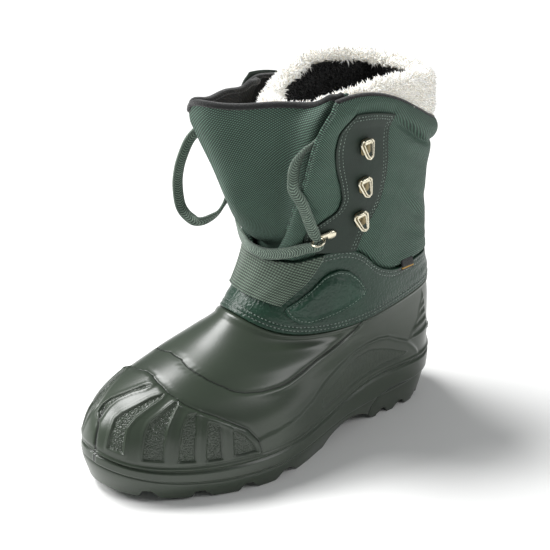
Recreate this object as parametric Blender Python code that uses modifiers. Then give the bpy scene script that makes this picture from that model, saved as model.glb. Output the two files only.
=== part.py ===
"""Insulated fishing boot for the left foot, standing empty on its sole.

A galosh moulded whole with its lugged sole carries a leather band, a padded
fabric shaft with a bellows tongue, an elastic instep strap, lace hardware and
a loose fur liner. The toe points to -Y and the outer side of the foot to +X.
The origin is the centre of the heel's flat underside, on the floor.

Every skin of the boot is read from one ring form: form(level, around).
  level   runs up the rows of BOOT_ROWS, 0 at the tread and 12 at the collar
  around  runs once round a ring: 0 back, 0.25 outer side, 0.5 toe, 0.75 inner side
"""
import math

import bmesh
import bpy
import numpy as np
from mathutils import Matrix, Vector

MM = 0.001                      # the tables below are in millimetres

# ---------------------------------------------------------------- the last
# Where along a ring, back to front, its half widths are given.
STATIONS = (0.0, 0.035, 0.13, 0.36, 0.60, 0.82, 0.955, 1.0)
END_WIDTH = 0.60                # half width next to a ring's two ends, of heel or toe

# Height along a ring, from back (0) to front (1):
#   back_z - dip * s + (front_z - back_z + dip) * s ** rise + crest * sin(pi s) ** 2
ROW_COLUMNS = (
    "back_y", "back_z", "front_y", "front_z", "rise", "dip", "crest",
    "heel", "waist", "ball", "toe", "bow",
)
FOOT_ROWS = (
    (39, 0, -260, 9, 9.0, 0, 0, 37, 37, 55, 49, 8),         # 0 tread
    (44, 26, -265, 29, 6.0, 22, 0, 42, 42, 57, 51, 8),      # 1 line above the lugs
    (45, 44, -264, 39, 6.0, 25, 0, 43, 43, 57, 50, 8),      # 2 groove above the bumper
    (45, 58, -256, 56, 5.0, 10, 0, 43, 43, 55, 48, 8),      # 3 side wall
    (44, 70, -240, 70, 3.0, 4, 0, 42, 43, 51, 44, 7),       # 4 top of the toe
    (43, 80, -210, 83, 3.0, 3, 0, 41, 44, 48, 40, 6),       # 5 vamp
    (41, 92, -170, 97, 4.0, 10, 0, 40, 45, 46, 38, 4),      # 6 instep
    (38, 106, -141, 112, 8.0, 16, 0, 39, 46, 46, 37, 3),    # 7 lower edge of the band
    (33, 124, -120, 134, 2.0, 4, 0, 39, 47, 48, 39, 2),     # 8 ankle
)
SHAFT_ROWS = (
    (28, 146, -113, 162, 1.0, 0, 1, 39, 48, 50, 41, 0),     # 9 foot of the throat
    (26, 175, -127, 198, 1.0, 0, 6, 40, 50, 52, 42, 0),     # 10
    (29, 205, -144, 236, 1.0, 0, 15, 42, 53, 55, 47, 0),    # 11
    (34, 236, -154, 271, 1.0, 0, 26, 44, 55, 57, 50, 0),    # 12 collar
)
LINER_ROWS = (
    (33, 124, -110, 132, 2.0, 4, 0, 39, 47, 45, 34, 2),     # 8
    (28, 146, -108, 160, 1.0, 0, 1, 39, 48, 47, 36, 0),     # 9
    (26, 175, -108, 192, 1.0, 0, 6, 40, 50, 49, 36, 0),     # 10
    (29, 205, -108, 224, 1.0, 0, 14, 42, 52, 50, 37, 0),    # 11
    (34, 238, -108, 248, 1.0, 0, 20, 43, 53, 50, 37, 0),    # 12
    (37, 266, -106, 258, 1.0, 0, 12, 43, 50, 48, 36, 0),    # 13 top of the fur
)
BOOT_ROWS = np.array(FOOT_ROWS + SHAFT_ROWS, float)
SOCK_ROWS = np.array(FOOT_ROWS[:-1] + LINER_ROWS, float)
COLLAR = len(BOOT_ROWS) - 1
RING_COLUMNS = 48               # facets round the boot, shared by every closed skin

# ---------------------------------------------------------------- walls, in mm
GALOSH_WALL = 6.0
BAND_OUT = 1.3                  # the leather stands this far off the form
BAND_LEATHER = 2.2
TUCK = BAND_OUT - BAND_LEATHER - 0.6    # face of what the band covers
SHAFT_WALL = 4.0
SHAFT_PUFF = 0.8                # padding of the shaft above the band
CUFF_PUFF = 2.6                 # extra padding of the top cuff
TONGUE_WALL = 3.0
EYESTAY_LEATHER = 1.6
STRAP_WALL = 1.5
PATCH_WALL = 2.6
REST = 0.55                     # clearance between two pieces that touch
PATCH_LIFT = 0.35               # more of it under a patch, whose wide facets dip
SEAT = 0.8                      # clearance of a flat plate's middle over the curved leather
LINER_WALL = 7.0
RIM_WALL = 9.0

RIM_LEVEL = 7.45                # top of the galosh, hidden by the band
BAND_FOOT = 7.0
THROAT_FOOT = 9.08
CUFF_CREASE = 11.45             # line under the puffy top cuff
CUFF_SWELL = 11.72
CUFF_HEIGHT = 0.62
FLOOR_LEVEL = 1.25              # inner floor of the galosh

# rows of the shaft: what the band covers, then up to the crease, as shares of each height
TUCKED_ROWS = (0.0, 0.25, 0.6, 1.0)
PADDED_ROWS = (0.0, 0.28, 0.56, 0.82)
RIM_CLEAR = 0.017               # levels from the galosh's rim to the shaft's foot
BAND_CLEAR = 0.03               # levels by which the tucked rows pass the band's top
PUFF_START = 0.38               # levels above the band where the padding is full
PUFF_FROM = 0.02                # levels above the band where it begins
PUFF_RAMP = 0.35                # levels over which it grows

# level of the band's top edge, against around; the inner side mirrors it
BAND_TOP = (
    (0.00, 8.35), (0.16, 8.30), (0.22, 8.22), (0.255, 8.42),
    (0.29, 8.95), (0.32, 9.08), (0.36, 8.96), (0.41, 8.72), (0.50, 8.60),
)
# front edge of the fabric quarters: around, against level
QUARTER_EDGE = (
    (7.40, 0.478), (8.60, 0.470), (9.08, 0.450), (9.80, 0.402),
    (10.65, 0.358), (11.25, 0.340), (11.70, 0.325), (12.00, 0.305),
)
# the leather eyestay: level, around at its front edge, around at its rear edge
EYESTAY = (
    (9.14, 0.398, 0.300), (9.50, 0.384, 0.284), (9.80, 0.342, 0.262),
    (9.97, 0.320, 0.250), (10.20, 0.309, 0.240), (10.50, 0.309, 0.232),
    (10.85, 0.312, 0.228), (11.15, 0.311, 0.228), (11.40, 0.306, 0.227),
    (11.58, 0.297, 0.225), (11.72, 0.280, 0.221),
)
# the leaf shaped patch: around, level of its lower and of its upper edge
PATCH = (
    (0.276, 7.82, 7.96), (0.282, 7.68, 8.14), (0.294, 7.56, 8.36), (0.312, 7.47, 8.53),
    (0.332, 7.38, 8.55), (0.350, 7.28, 8.42), (0.366, 7.26, 8.06), (0.384, 7.32, 7.80),
    (0.396, 7.42, 7.66),
)
# the strap's end beside the patch: share of the band's height, level there, around
STRAP_END = ((0.33, 7.53, 0.409), (0.62, 8.01, 0.379), (1.00, 8.64, 0.355))
# rows of the band itself, as shares of its height
BAND_ROWS = (0.0, 0.27, 0.62, 1.0)

# fold of the bellows tongue: level, x, y, z
FOLD = (
    (9.08, 3, -114, 159), (9.30, -8, -119, 168), (9.55, -12, -124, 178),
    (10.10, -13, -133, 200), (10.65, -18, -139, 221), (11.15, -26, -143, 240),
    (11.60, -33, -145, 255), (12.00, -36, -144, 267),
)
FOLD_PULL = 0.08                # the fold's corner stands out by this much before rounding
FLAP = 0.032                    # how far round the tongue's flaps reach behind a quarter
INNER_DROP = 0.35               # levels by which its inner half ends lower at the collar
POCKET = 5.6                    # room behind a quarter's edge for the lace's tucked end
POCKET_FOOT = 10.2              # level where that room begins
POCKET_RISE = 0.8               # levels over which it opens
POCKET_SHARE = 0.6              # how much of it the flap's end has
FLAP_GAP = 1.2                  # between a quarter's lining and the tongue behind it
HEM_SINK = 0.4                  # by which the tongue's hem lies deeper than its flap
DROP_FROM = 11.0                # level above which the inner half ends lower

# ---------------------------------------------------------------- tread, in mm
LUG_DEPTH = 6.0
NOTCH_LEAD = 8.0                # how far outside the edge a notch's cutter starts
CUT_BELOW = -2.0                # height at which the cutters start
# notches of the tread's edge: around, width at the floor, width at its root, length
NOTCHES = (
    (0.170, 12, 5, 22), (0.148, 13, 5, 22), (0.108, 13, 5, 22),
    (0.283, 22, 7, 34), (0.318, 16, 6, 34), (0.357, 18, 7, 34), (0.412, 22, 7, 34),
)
ARCH_CENTRE_Y = -62.5
ARCH_SPAN = 59.0
ARCH_HEIGHT = 12.5
CHANNEL = (-226.0, -104.0)      # y range of the groove down the middle of the forefoot
CHANNEL_X = 1.5
CHANNEL_WIDTH = 7.0
CHANNEL_DEPTH = 4.0
CHANNEL_TAPER = 2.0             # by which it is narrower at its root

# ---------------------------------------------------------------- toe cap
CAP_STEP = 1.3
CAP_EDGE_Y = -214.0             # where its edge crosses the top of the toe
CAP_EDGE_Z = 82.0
CAP_SLANT = math.radians(45.0)
CAP_LEVELS = (2.14, 2.6, 3.2, 3.8, 4.4, 5.0, 5.4)
CAP_COLUMNS = (12, 37)          # columns of the ring that the cap spans
CAP_ROOT = 3.0                  # how deep the cap's skin sinks into the galosh
CUT_REACH = 300.0               # size of the block that cuts it off

# ---------------------------------------------------------------- lace hardware
HOOKS = ((0.268, 11.13), (0.275, 10.44), (0.288, 9.77))     # around, level
RING_HOOK = (0.340, 9.50)
WIRE = 0.9
EYE_RADIUS = 4.6
EYE_AHEAD = 11.0                # from the rivet to the eye's centre, toward the throat
EYE_UP = 2.0
EYE_OUT = 5.6
HOOK_PLATE = (8.0, 11.0, 1.0)   # forward, up and out, as are all sizes of plates and clips
HOOK_CLIP = (6.0, 3.4, 3.2)
CLIP_UP = 4.6                   # height of the clip above the plate's middle
# the hook's wire ring, narrow end down: forward, up, out
HOOK_RING = (
    (-4.2, 5.2, 1.8), (4.2, 5.2, 1.8), (5.4, 3.8, 2.0), (2.4, -6.4, 4.4),
    (0.0, -7.8, 4.8), (-2.4, -6.4, 4.4), (-5.4, 3.8, 2.0),
)
RIVET_RADIUS = 3.8
RIVET_HEIGHT = 2.2
RING_TAB = (12.0, 5.0, 1.4)
TAB_AHEAD = 5.5
TAB_UP = 1.2
LACE_RADIUS = 2.4
LACE_GAP = 0.9                  # between the bar and an end, inside the eye
LACE_RISE = 3.0                 # straight run of an end above the eye
LACE_DROP = 3.6                 # straight run of the bar below it
BAR_POINTS, OUTER_POINTS, INNER_POINTS = 26, 18, 28
# the lace across the throat's foot: level, around, mm outside the form
LACE_BAR = (
    (9.22, 0.388, 6.1), (9.06, 0.416, 5.2), (8.90, 0.446, 4.4), (8.80, 0.475, 5.0),
    (8.79, 0.503, 5.4), (8.80, 0.528, 5.2), (8.86, 0.553, 5.0), (8.95, 0.578, 6.0),
    (9.08, 0.600, 8.0), (9.20, 0.616, 9.0),
)
# from each eye to the lace's end, in mm
OUTER_END = (
    (46.4, -103, 184), (45.4, -107, 195), (44.8, -112, 207), (40, -115, 215),
    (37, -113, 221.5), (37, -112.5, 228), (38.5, -111, 235.4), (41.5, -107.5, 242.7),
    (44.8, -102.5, 246.5), (46.6, -97.5, 250.5),
)
INNER_END = (
    (-48.8, -102.7, 178.8), (-49, -107, 178), (-49, -110.8, 173.5), (-50.4, -116.5, 167.2),
    (-55, -127, 162.5), (-62, -132, 163.9), (-70.4, -135, 171.8), (-71.2, -137, 189.2),
    (-68.6, -137, 203.7), (-65.7, -135, 215.3), (-63.1, -131, 226.1), (-59.5, -126, 233.3),
    (-57.5, -118, 238), (-57.5, -109, 240.5), (-59.3, -98, 241.5), (-61, -86, 242),
    (-61.8, -77, 242),
)

# ---------------------------------------------------------------- fur rim
TUFT_HEIGHT = 3.0               # every second point of the rim stands this much higher


# ================================================================ the ring form
def spline_matrix(count):
    """Turns points on a closed cubic spline into its control points."""
    eye = np.eye(count)
    return 6 * np.linalg.inv(4 * eye + np.roll(eye, 1, 0) + np.roll(eye, -1, 0))


RING_POINTS = 2 * len(STATIONS) - 2
RING_SPLINE = spline_matrix(RING_POINTS)


def row_slopes(rows):
    """Slope of every column at each row, limited so that no value overshoots."""
    steps = np.diff(rows, axis=0)
    slopes = np.vstack((steps[:1], (steps[1:] + steps[:-1]) / 2, steps[-1:]))
    for first in (0, 1):
        near = slopes[first:len(steps) + first]
        near[near * steps < 0] = 0
        np.clip(near, -3 * np.abs(steps), 3 * np.abs(steps), out=near)
    return slopes


def row_at(level, rows):
    """Row values at fractional levels, by cubics from row to row."""
    slopes = row_slopes(rows)
    low = np.clip(np.floor(level).astype(int), 0, len(rows) - 2)
    s = (level - low)[:, None]
    return (
        (2 * s**3 - 3 * s**2 + 1) * rows[low] + (s**3 - 2 * s**2 + s) * slopes[low]
        + (3 * s**2 - 2 * s**3) * rows[low + 1] + (s**3 - s**2) * slopes[low + 1]
    )


def ring_points(values):
    """The points that each ring passes through: up the outer side and back down the inner."""
    value = dict(zip(ROW_COLUMNS, values.T[:, :, None]))
    s = np.array(STATIONS)
    zero = np.zeros_like(value["heel"])
    width = np.hstack((
        zero, END_WIDTH * value["heel"], value["heel"], value["waist"],
        value["ball"], value["toe"], END_WIDTH * value["toe"], zero,
    ))
    middle = value["bow"] * np.sin(1.35 * math.pi * np.clip((s - 0.25) / 0.75, 0, 1))
    y = value["back_y"] + (value["front_y"] - value["back_y"]) * s
    climb = value["front_z"] - value["back_z"] + value["dip"]
    z = value["back_z"] - value["dip"] * s + climb * s ** value["rise"]
    z = z + value["crest"] * np.sin(math.pi * s) ** 2
    outer = np.stack((middle + width, y, z), -1)
    inner = np.stack((middle - width, y, z), -1)
    return np.concatenate((outer, inner[:, -2:0:-1]), 1)


def form(level, around, rows=BOOT_ROWS):
    """Points of the form in mm, for arrays of level and around of one shape."""
    level, around = np.broadcast_arrays(np.asarray(level, float), np.asarray(around, float))
    controls = np.einsum("ij,njk->nik", RING_SPLINE, ring_points(row_at(level.ravel(), rows)))
    step = (around.ravel() % 1.0) * RING_POINTS
    first = np.floor(step).astype(int)
    t = (step - first)[:, None]
    weights = ((1 - t)**3, 3 * t**3 - 6 * t**2 + 4, -3 * t**3 + 3 * t**2 + 3 * t + 1, t**3)
    index = np.arange(len(first))
    points = sum(
        weight * controls[index, (first + shift) % RING_POINTS]
        for shift, weight in zip((-1, 0, 1, 2), weights)
    )
    return (points / 6).reshape(level.shape + (3,))


def normal(level, around, rows=BOOT_ROWS):
    """Outward unit normals of the form."""
    up = form(level + 0.01, around, rows) - form(level - 0.01, around, rows)
    along = form(level, around + 0.002, rows) - form(level, around - 0.002, rows)
    across = np.cross(up, along)
    return across / np.linalg.norm(across, axis=-1, keepdims=True)


def skin(level, around, out, rows=BOOT_ROWS):
    """Points that lie `out` mm outside the form."""
    level, around = np.broadcast_arrays(np.asarray(level, float), np.asarray(around, float))
    return form(level, around, rows) + normal(level, around, rows) * np.asarray(out)[..., None]


def column_of(table, x, column=1):
    """Reads a table's column at x, in straight runs."""
    table = np.array(table, float)
    return np.interp(x, table[:, 0], table[:, column])


def mirrored(around):
    """Distance round the ring from the back, the same on both sides."""
    around = np.asarray(around) % 1.0
    return np.minimum(around, 1.0 - around)


# ================================================================ objects
def srgb(code):
    """Linear colour of a hex code."""
    parts = [int(code[i:i + 2], 16) / 255 for i in (0, 2, 4)]
    return [c / 12.92 if c <= 0.04045 else ((c + 0.055) / 1.055) ** 2.4 for c in parts] + [1.0]


def material(name, code, roughness, metallic=0.0):
    made = bpy.data.materials.new(name)
    made.use_nodes = True
    shader = made.node_tree.nodes["Principled BSDF"]
    shader.inputs["Base Color"].default_value = srgb(code)
    shader.inputs["Roughness"].default_value = roughness
    shader.inputs["Metallic"].default_value = metallic
    made.diffuse_color = srgb(code)
    return made


def add_object(name, data, folder, surface=None):
    made = bpy.data.objects.new(name, data)
    folder.objects.link(made)
    if surface is not None:
        data.materials.append(surface)
    return made


def add_cutter(name, data):
    cutter = add_object(name, data, CUTTERS)
    cutter.hide_render = True
    cutter.display_type = "WIRE"
    return cutter


def sheet_faces(rows, columns, closed):
    """Quads over a grid whose rows climb and whose columns run round the boot."""
    last = columns if closed else columns - 1
    return [
        (r * columns + c, (r + 1) * columns + c,
         (r + 1) * columns + (c + 1) % columns, r * columns + (c + 1) % columns)
        for r in range(rows - 1) for c in range(last)
    ]


def ring_cap(first, columns, downward):
    """Quads across a ring, from each point to the one level with it on the other side."""
    half = columns // 2
    faces = []
    for c in range(half):
        ends = (first + c, first + c + 1, first + (columns - c - 1) % columns,
                first + (columns - c) % columns)
        face = tuple(dict.fromkeys(ends))
        faces.append(face if downward else face[::-1])
    return faces


def mesh_of(name, points, faces):
    data = bpy.data.meshes.new(name)
    data.from_pydata([Vector(p) * MM for p in np.asarray(points).reshape(-1, 3)], [], faces)
    data.validate()
    data.shade_smooth()
    data.set_sharp_from_angle(angle=math.radians(40))
    return data


def add_sheet(name, grid, surface, wall, closed=False):
    """A piece of even thickness, its outer face the grid and its wall inward of it."""
    rows, columns = grid.shape[:2]
    made = add_object(name, mesh_of(name, grid, sheet_faces(rows, columns, closed)), BOOT, surface)
    shell = made.modifiers.new("wall", "SOLIDIFY")
    shell.thickness = wall * MM
    shell.offset = -1.0
    return made


def add_cup(name, rings, surface):
    """A closed cup from rings: up its outer face, over its rim and down to its floor."""
    count, columns = rings.shape[:2]
    faces = sheet_faces(count, columns, True)
    faces += ring_cap(0, columns, True)
    faces += ring_cap((count - 1) * columns, columns, False)
    return add_object(name, mesh_of(name, rings, faces), BOOT, surface)


def weld(data, distance=0.00001):
    """Joins points of a mesh that lie within a hundredth of a millimetre."""
    work = bmesh.new()
    work.from_mesh(data)
    bmesh.ops.remove_doubles(work, verts=work.verts, dist=distance)
    work.to_mesh(data)
    work.free()


def boolean(target, operation, tool):
    step = target.modifiers.new(operation.lower(), "BOOLEAN")
    step.operation = operation
    step.solver = "EXACT"
    if isinstance(tool, bpy.types.Collection):
        step.operand_type = "COLLECTION"
        step.collection = tool
    else:
        step.object = tool
    return step


def baked(made):
    """Replaces an object's mesh by what its modifiers make of it."""
    graph = bpy.context.evaluated_depsgraph_get()
    graph.update()
    data = bpy.data.meshes.new_from_object(made.evaluated_get(graph))
    made.modifiers.clear()
    made.data = data
    return made


def cord(name, route, radius, folder, surface, sides=2, loop=False):
    """A round cord along a list of points, as a bevelled poly curve."""
    curve = bpy.data.curves.new(name, "CURVE")
    curve.dimensions = "3D"
    curve.bevel_depth = radius * MM
    curve.bevel_resolution = sides
    curve.use_fill_caps = not loop
    line = curve.splines.new("POLY")
    line.points.add(len(route) - 1)
    for point, place in zip(line.points, route):
        point.co = (*(Vector(place) * MM), 1.0)
    line.use_cyclic_u = loop
    return add_object(name, curve, folder, surface)


def as_mesh(curve):
    """The same cord as a mesh, with its caps welded, so that it can be joined to others."""
    graph = bpy.context.evaluated_depsgraph_get()
    graph.update()
    data = bpy.data.meshes.new_from_object(curve.evaluated_get(graph))
    weld(data)
    made = add_object(curve.name + "_mesh", data, curve.users_collection[0])
    made.matrix_world = curve.matrix_world
    bpy.data.objects.remove(curve)
    return made


def smooth_route(points, count):
    """Points evenly spaced along a cubic spline through a few chosen ones."""
    points = np.array(points, float)
    ends = np.vstack((2 * points[0] - points[1], points, 2 * points[-1] - points[-2]))
    place = np.linspace(0, len(points) - 1, 12 * len(points))
    first = np.minimum(place.astype(int), len(points) - 2)
    t = (place - first)[:, None]
    a, b, c, d = (ends[first + k] for k in range(4))
    fine = 0.5 * (2 * b + (c - a) * t + (2 * a - 5 * b + 4 * c - d) * t**2
                  + (3 * b - a - 3 * c + d) * t**3)
    run = np.append(0, np.cumsum(np.linalg.norm(np.diff(fine, axis=0), axis=1)))
    even = np.linspace(0, run[-1], count)
    return np.column_stack([np.interp(even, run, axis) for axis in fine.T])


# ================================================================ galosh and sole
def galosh_rings():
    """Rings of the moulded galosh: outer face, step under the band, rim, lining, floor."""
    wall = GALOSH_WALL
    profile = (                 # level, mm outside the form
        (0.00, 0.0), (0.50, 0.0), (0.94, 0.2), (1.00, -0.8), (1.08, 1.0), (1.50, 1.6),
        (1.90, 0.8), (2.00, -0.9), (2.12, 0.0), (2.70, 0.0), (3.40, 0.0), (4.10, 0.0),
        (4.80, 0.0), (5.50, 0.0), (6.25, 0.0), (BAND_FOOT - 0.02, 0.0),
        (BAND_FOOT - 0.005, TUCK), (RIM_LEVEL, TUCK), (RIM_LEVEL, -wall),
        (6.60, -wall), (5.80, -wall), (4.80, -wall), (3.60, -wall),
        (2.40, -wall - 0.5), (1.70, -wall - 2), (FLOOR_LEVEL, -wall - 4.5),
    )
    around = np.arange(RING_COLUMNS) / RING_COLUMNS
    rings = np.array([skin(level, around, np.full(RING_COLUMNS, out)) for level, out in profile])
    flat_below = 0.3            # what lies this low is ground flat
    rings[0] = form(0.0, around)
    rings[0, :, 2] = np.maximum(rings[0, :, 2] - flat_below, 0)
    return rings


def wedge(name, place, heading, length, foot, head, bottom, top):
    """A tapered bar lying along `heading`, wider at its foot, that cuts one groove."""
    block = bmesh.new()
    bmesh.ops.create_cube(block, size=1.0)
    for vert in block.verts:
        width = head if vert.co.z > 0 else foot
        vert.co = Vector((
            (vert.co.x + 0.5) * length, vert.co.y * width,
            top if vert.co.z > 0 else bottom,
        )) * MM
    data = bpy.data.meshes.new(name)
    block.to_mesh(data)
    block.free()
    cutter = add_cutter(name, data)
    cutter.location = Vector(place) * MM
    cutter.rotation_euler.z = heading
    return cutter


def add_tread_cutters():
    """Notches round the tread's edge, the arch and the grooves down its middle."""
    for around, foot, head, length in NOTCHES:
        for side, place in (("outer", around), ("inner", 1 - around)):
            edge = form(0.0, place)
            away = normal(0.05, place)
            out = math.atan2(away[1], away[0])
            start = edge[:2] + NOTCH_LEAD * np.array((math.cos(out), math.sin(out)))
            wedge(f"notch_{side}_{around:.3f}", (*start, 0.0), out + math.pi,
                  length + NOTCH_LEAD, foot, head, CUT_BELOW, edge[2] + LUG_DEPTH)
    radius = (ARCH_SPAN**2 / 4 + ARCH_HEIGHT**2) / (2 * ARCH_HEIGHT)
    bpy.ops.mesh.primitive_cylinder_add(
        vertices=40, radius=radius * MM, depth=0.2,
        location=Vector((0, ARCH_CENTRE_Y, ARCH_HEIGHT - radius)) * MM,
        rotation=(0, math.radians(90), 0),
    )
    arch = bpy.context.object
    arch.name = "arch"
    arch.hide_render = True
    arch.display_type = "WIRE"
    for folder in arch.users_collection:
        folder.objects.unlink(arch)
    CUTTERS.objects.link(arch)
    front, back = CHANNEL
    wedge("channel", (CHANNEL_X, front, 0.0), math.radians(90), back - front,
          CHANNEL_WIDTH, CHANNEL_WIDTH - CHANNEL_TAPER, CUT_BELOW, CHANNEL_DEPTH)


def add_toe_cap():
    """The raised toe cap: a thick skin of the toe, cut off by a slanting plane."""
    around = np.arange(*CAP_COLUMNS) / RING_COLUMNS
    level_grid, around_grid = np.meshgrid(np.array(CAP_LEVELS), around, indexing="ij")
    grid = skin(level_grid, around_grid, np.full(level_grid.shape, CAP_STEP))
    cap = add_sheet("toe_cap", grid, None, CAP_STEP + CAP_ROOT)
    bpy.context.view_layer.update()
    reach = CUT_REACH
    behind = wedge("behind_toe_cap", (-reach / 2, 0, 0), 0.0, reach, reach, reach, 0, reach)
    behind.location = Vector((-reach / 2, CAP_EDGE_Y, CAP_EDGE_Z)) * MM
    behind.rotation_euler = (CAP_SLANT, 0, 0)
    behind.data.transform(Matrix.Translation(Vector((0, reach / 2, -reach / 2)) * MM))
    boolean(cap, "DIFFERENCE", behind)
    baked(cap)
    BOOT.objects.unlink(cap)
    CUTTERS.objects.link(cap)
    cap.hide_render = True
    cap.display_type = "WIRE"
    return cap


def add_galosh():
    """One moulding of foam rubber: sole with lugs, bumper, vamp, counter and toe cap."""
    rubber = material("moulded_rubber", "3A4440", 0.42)
    galosh = add_cup("galosh_and_sole", galosh_rings(), rubber)
    boolean(galosh, "UNION", add_toe_cap())
    galosh.modifiers[-1].name = "toe cap"
    add_tread_cutters()
    for cutter in list(CUTTERS.objects):
        if cutter.name.startswith(("notch", "arch", "channel")):
            TREAD.objects.link(cutter)
            CUTTERS.objects.unlink(cutter)
    boolean(galosh, "DIFFERENCE", TREAD)
    seams = galosh.modifiers.new("seams", "WELD")
    seams.merge_threshold = 0.00001


# ================================================================ upper
def around_columns():
    return np.arange(RING_COLUMNS) / RING_COLUMNS


def add_band():
    """The leather band: a closed strip over the galosh's rim, with a humped top edge."""
    around = around_columns()
    top = column_of(BAND_TOP, mirrored(around))
    share = np.array(BAND_ROWS)[:, None]
    level = BAND_FOOT + (top - BAND_FOOT) * share
    grid = skin(level, np.broadcast_to(around, level.shape), np.full(level.shape, BAND_OUT))
    leather = material("grained_leather", "27382F", 0.5)
    add_sheet("leather_band", grid, leather, BAND_LEATHER, closed=True)
    return leather


def padding(level):
    """How far the padded shaft stands off the form above the band."""
    return SHAFT_PUFF + CUFF_PUFF * np.sin(math.pi * np.clip((level - CUFF_CREASE) / CUFF_HEIGHT, 0, 1))


def shaft_out(level, around):
    """How far the shaft's face stands off the form: tucked under the band, padded above it."""
    over_band = np.clip((level - column_of(BAND_TOP, mirrored(around)) - PUFF_FROM) / PUFF_RAMP, 0, 1)
    return TUCK + (padding(level) - TUCK) * over_band


def shaft_levels(around):
    """Levels of the shaft's rows at each place round the boot: they follow the band's top."""
    top = column_of(BAND_TOP, mirrored(around))
    foot = RIM_LEVEL + RIM_CLEAR
    share = np.array(PADDED_ROWS)[:, None]
    tucked = np.array(TUCKED_ROWS)[:, None]
    level = np.empty_like(top)
    level[:4] = foot + (top[:4] + BAND_CLEAR - foot) * tucked
    padded = top[4:8] + PUFF_START
    level[4:8] = padded + (CUFF_CREASE - padded) * share
    level[8:] = np.array((CUFF_CREASE, CUFF_SWELL, COLLAR))[:, None]
    return level


def add_shaft():
    """The padded fabric quarters, one wall round the back from throat edge to throat edge."""
    share = np.linspace(-1, 1, 35)
    around = np.broadcast_to(0.4 * share, (11, 35))
    for _ in range(6):          # the rows' levels and the throat's edge depend on each other
        level = shaft_levels(around)
        around = column_of(QUARTER_EDGE, level) * share
    grid = skin(level, around, shaft_out(level, around))
    fabric = material("padded_fabric", "274237", 0.75)
    add_sheet("shaft", grid, fabric, SHAFT_WALL)
    return fabric


def tongue_section(level):
    """Control points across the tongue at one level: flap, panel, fold, panel, flap."""
    edge = float(column_of(QUARTER_EDGE, level))
    behind = SHAFT_WALL + FLAP_GAP
    if level < THROAT_FOOT:
        places = np.linspace(edge - FLAP, 1 - edge + FLAP, 9)
        return skin(level, places, np.full(9, TUCK - behind))
    fold = np.array([column_of(FOLD, level, column) for column in (1, 2, 3)])
    pocket = POCKET * np.clip((level - POCKET_FOOT) / POCKET_RISE, 0, 1)
    inner_level = level - INNER_DROP * np.clip(level - DROP_FROM, 0, 1)
    halves = []
    for high, at, turn, sunk in ((level, edge, -1, pocket), (inner_level, 1 - edge, 1, 0)):
        flap = skin(high, at + turn * FLAP, np.array(SHAFT_PUFF - behind - POCKET_SHARE * sunk))
        inner = skin(high, at + turn * FLAP / 2, np.array(SHAFT_PUFF - behind - sunk))
        hem = skin(high, at, np.array(SHAFT_PUFF - behind - HEM_SINK - sunk))
        halves.append((flap, inner, hem))
    (flap_a, inner_a, hem_a), (flap_b, inner_b, hem_b) = halves
    fold = fold + (fold - (hem_a + hem_b) / 2) * FOLD_PULL
    panel_a = hem_a + (fold - hem_a) * 0.5
    panel_b = hem_b + (fold - hem_b) * 0.5
    return np.array((flap_a, inner_a, hem_a, panel_a, fold, fold, panel_b, hem_b, inner_b, flap_b))


def section_curve(points, count):
    """Points of a cubic B-spline that starts and ends on its control points."""
    ends = np.vstack((2 * points[0] - points[1], points, 2 * points[-1] - points[-2]))
    place = np.linspace(0, len(points) - 1, count)
    first = np.minimum(place.astype(int), len(points) - 2)
    t = (place - first)[:, None]
    a, b, c, d = (ends[first + k] for k in range(4))
    return ((1 - t)**3 * a + (3 * t**3 - 6 * t**2 + 4) * b
            + (-3 * t**3 + 3 * t**2 + 3 * t + 1) * c + t**3 * d) / 6


def add_tongue(fabric):
    """The bellows tongue: a wide sheet folded forward on the inner side of the shin."""
    levels = (8.35, 8.7, 9.04, 9.32, 9.8, 10.5, 11.2, 11.9)
    grid = np.array([section_curve(tongue_section(level), 20) for level in levels])
    add_sheet("tongue", grid, fabric, TONGUE_WALL)


def mirror_of(made, name):
    """The same piece on the other side of the boot."""
    data = baked(made).data.copy()
    data.name = name
    data.transform(Matrix.Diagonal((-1, 1, 1, 1)))
    data.flip_normals()
    return add_object(name, data, BOOT)


def add_eyestays():
    """Smooth leather facings with a wavy front edge, one beside each throat edge."""
    leather = material("smooth_leather", "2B3532", 0.45)
    table = np.array(EYESTAY)
    around = table[:, 2:] + (table[:, 1:2] - table[:, 2:]) * np.linspace(0, 1, 7)
    level = np.broadcast_to(table[:, :1], around.shape)
    grid = skin(level, around, padding(level) + REST + EYESTAY_LEATHER)
    outer = add_sheet("eyestay_outer", grid, leather, EYESTAY_LEATHER)
    mirror_of(outer, "eyestay_inner")


def add_patches(leather):
    """Padded leaf shaped patches where the strap is sewn on."""
    table = np.array(PATCH)
    level = table[:, 1] + (table[:, 2] - table[:, 1]) * np.linspace(0, 1, 5)[:, None]
    around = np.broadcast_to(table[:, 0], level.shape)
    for side in ("outer", "inner"):
        if side == "inner":     # the foot's bow makes the two sides differ
            level, around = level[:, ::-1], 1 - around[:, ::-1]
        grid = skin(level, around, np.full(level.shape, BAND_OUT + REST + PATCH_LIFT + PATCH_WALL))
        add_sheet(f"strap_patch_{side}", grid, leather, PATCH_WALL)


def add_strap():
    """The elastic strap across the instep, from patch to patch."""
    table = np.array(STRAP_END)
    share = np.linspace(0, 1, 17)
    around = table[:, 2:] + (1 - 2 * table[:, 2:]) * share
    top = column_of(BAND_TOP, mirrored(around))
    level = BAND_FOOT + (top - BAND_FOOT) * table[:, :1]
    grid = skin(level, around, np.full(around.shape, BAND_OUT + REST + STRAP_WALL))
    add_sheet("instep_strap", grid, material("elastic_webbing", "3E4A41", 0.85), STRAP_WALL)


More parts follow.
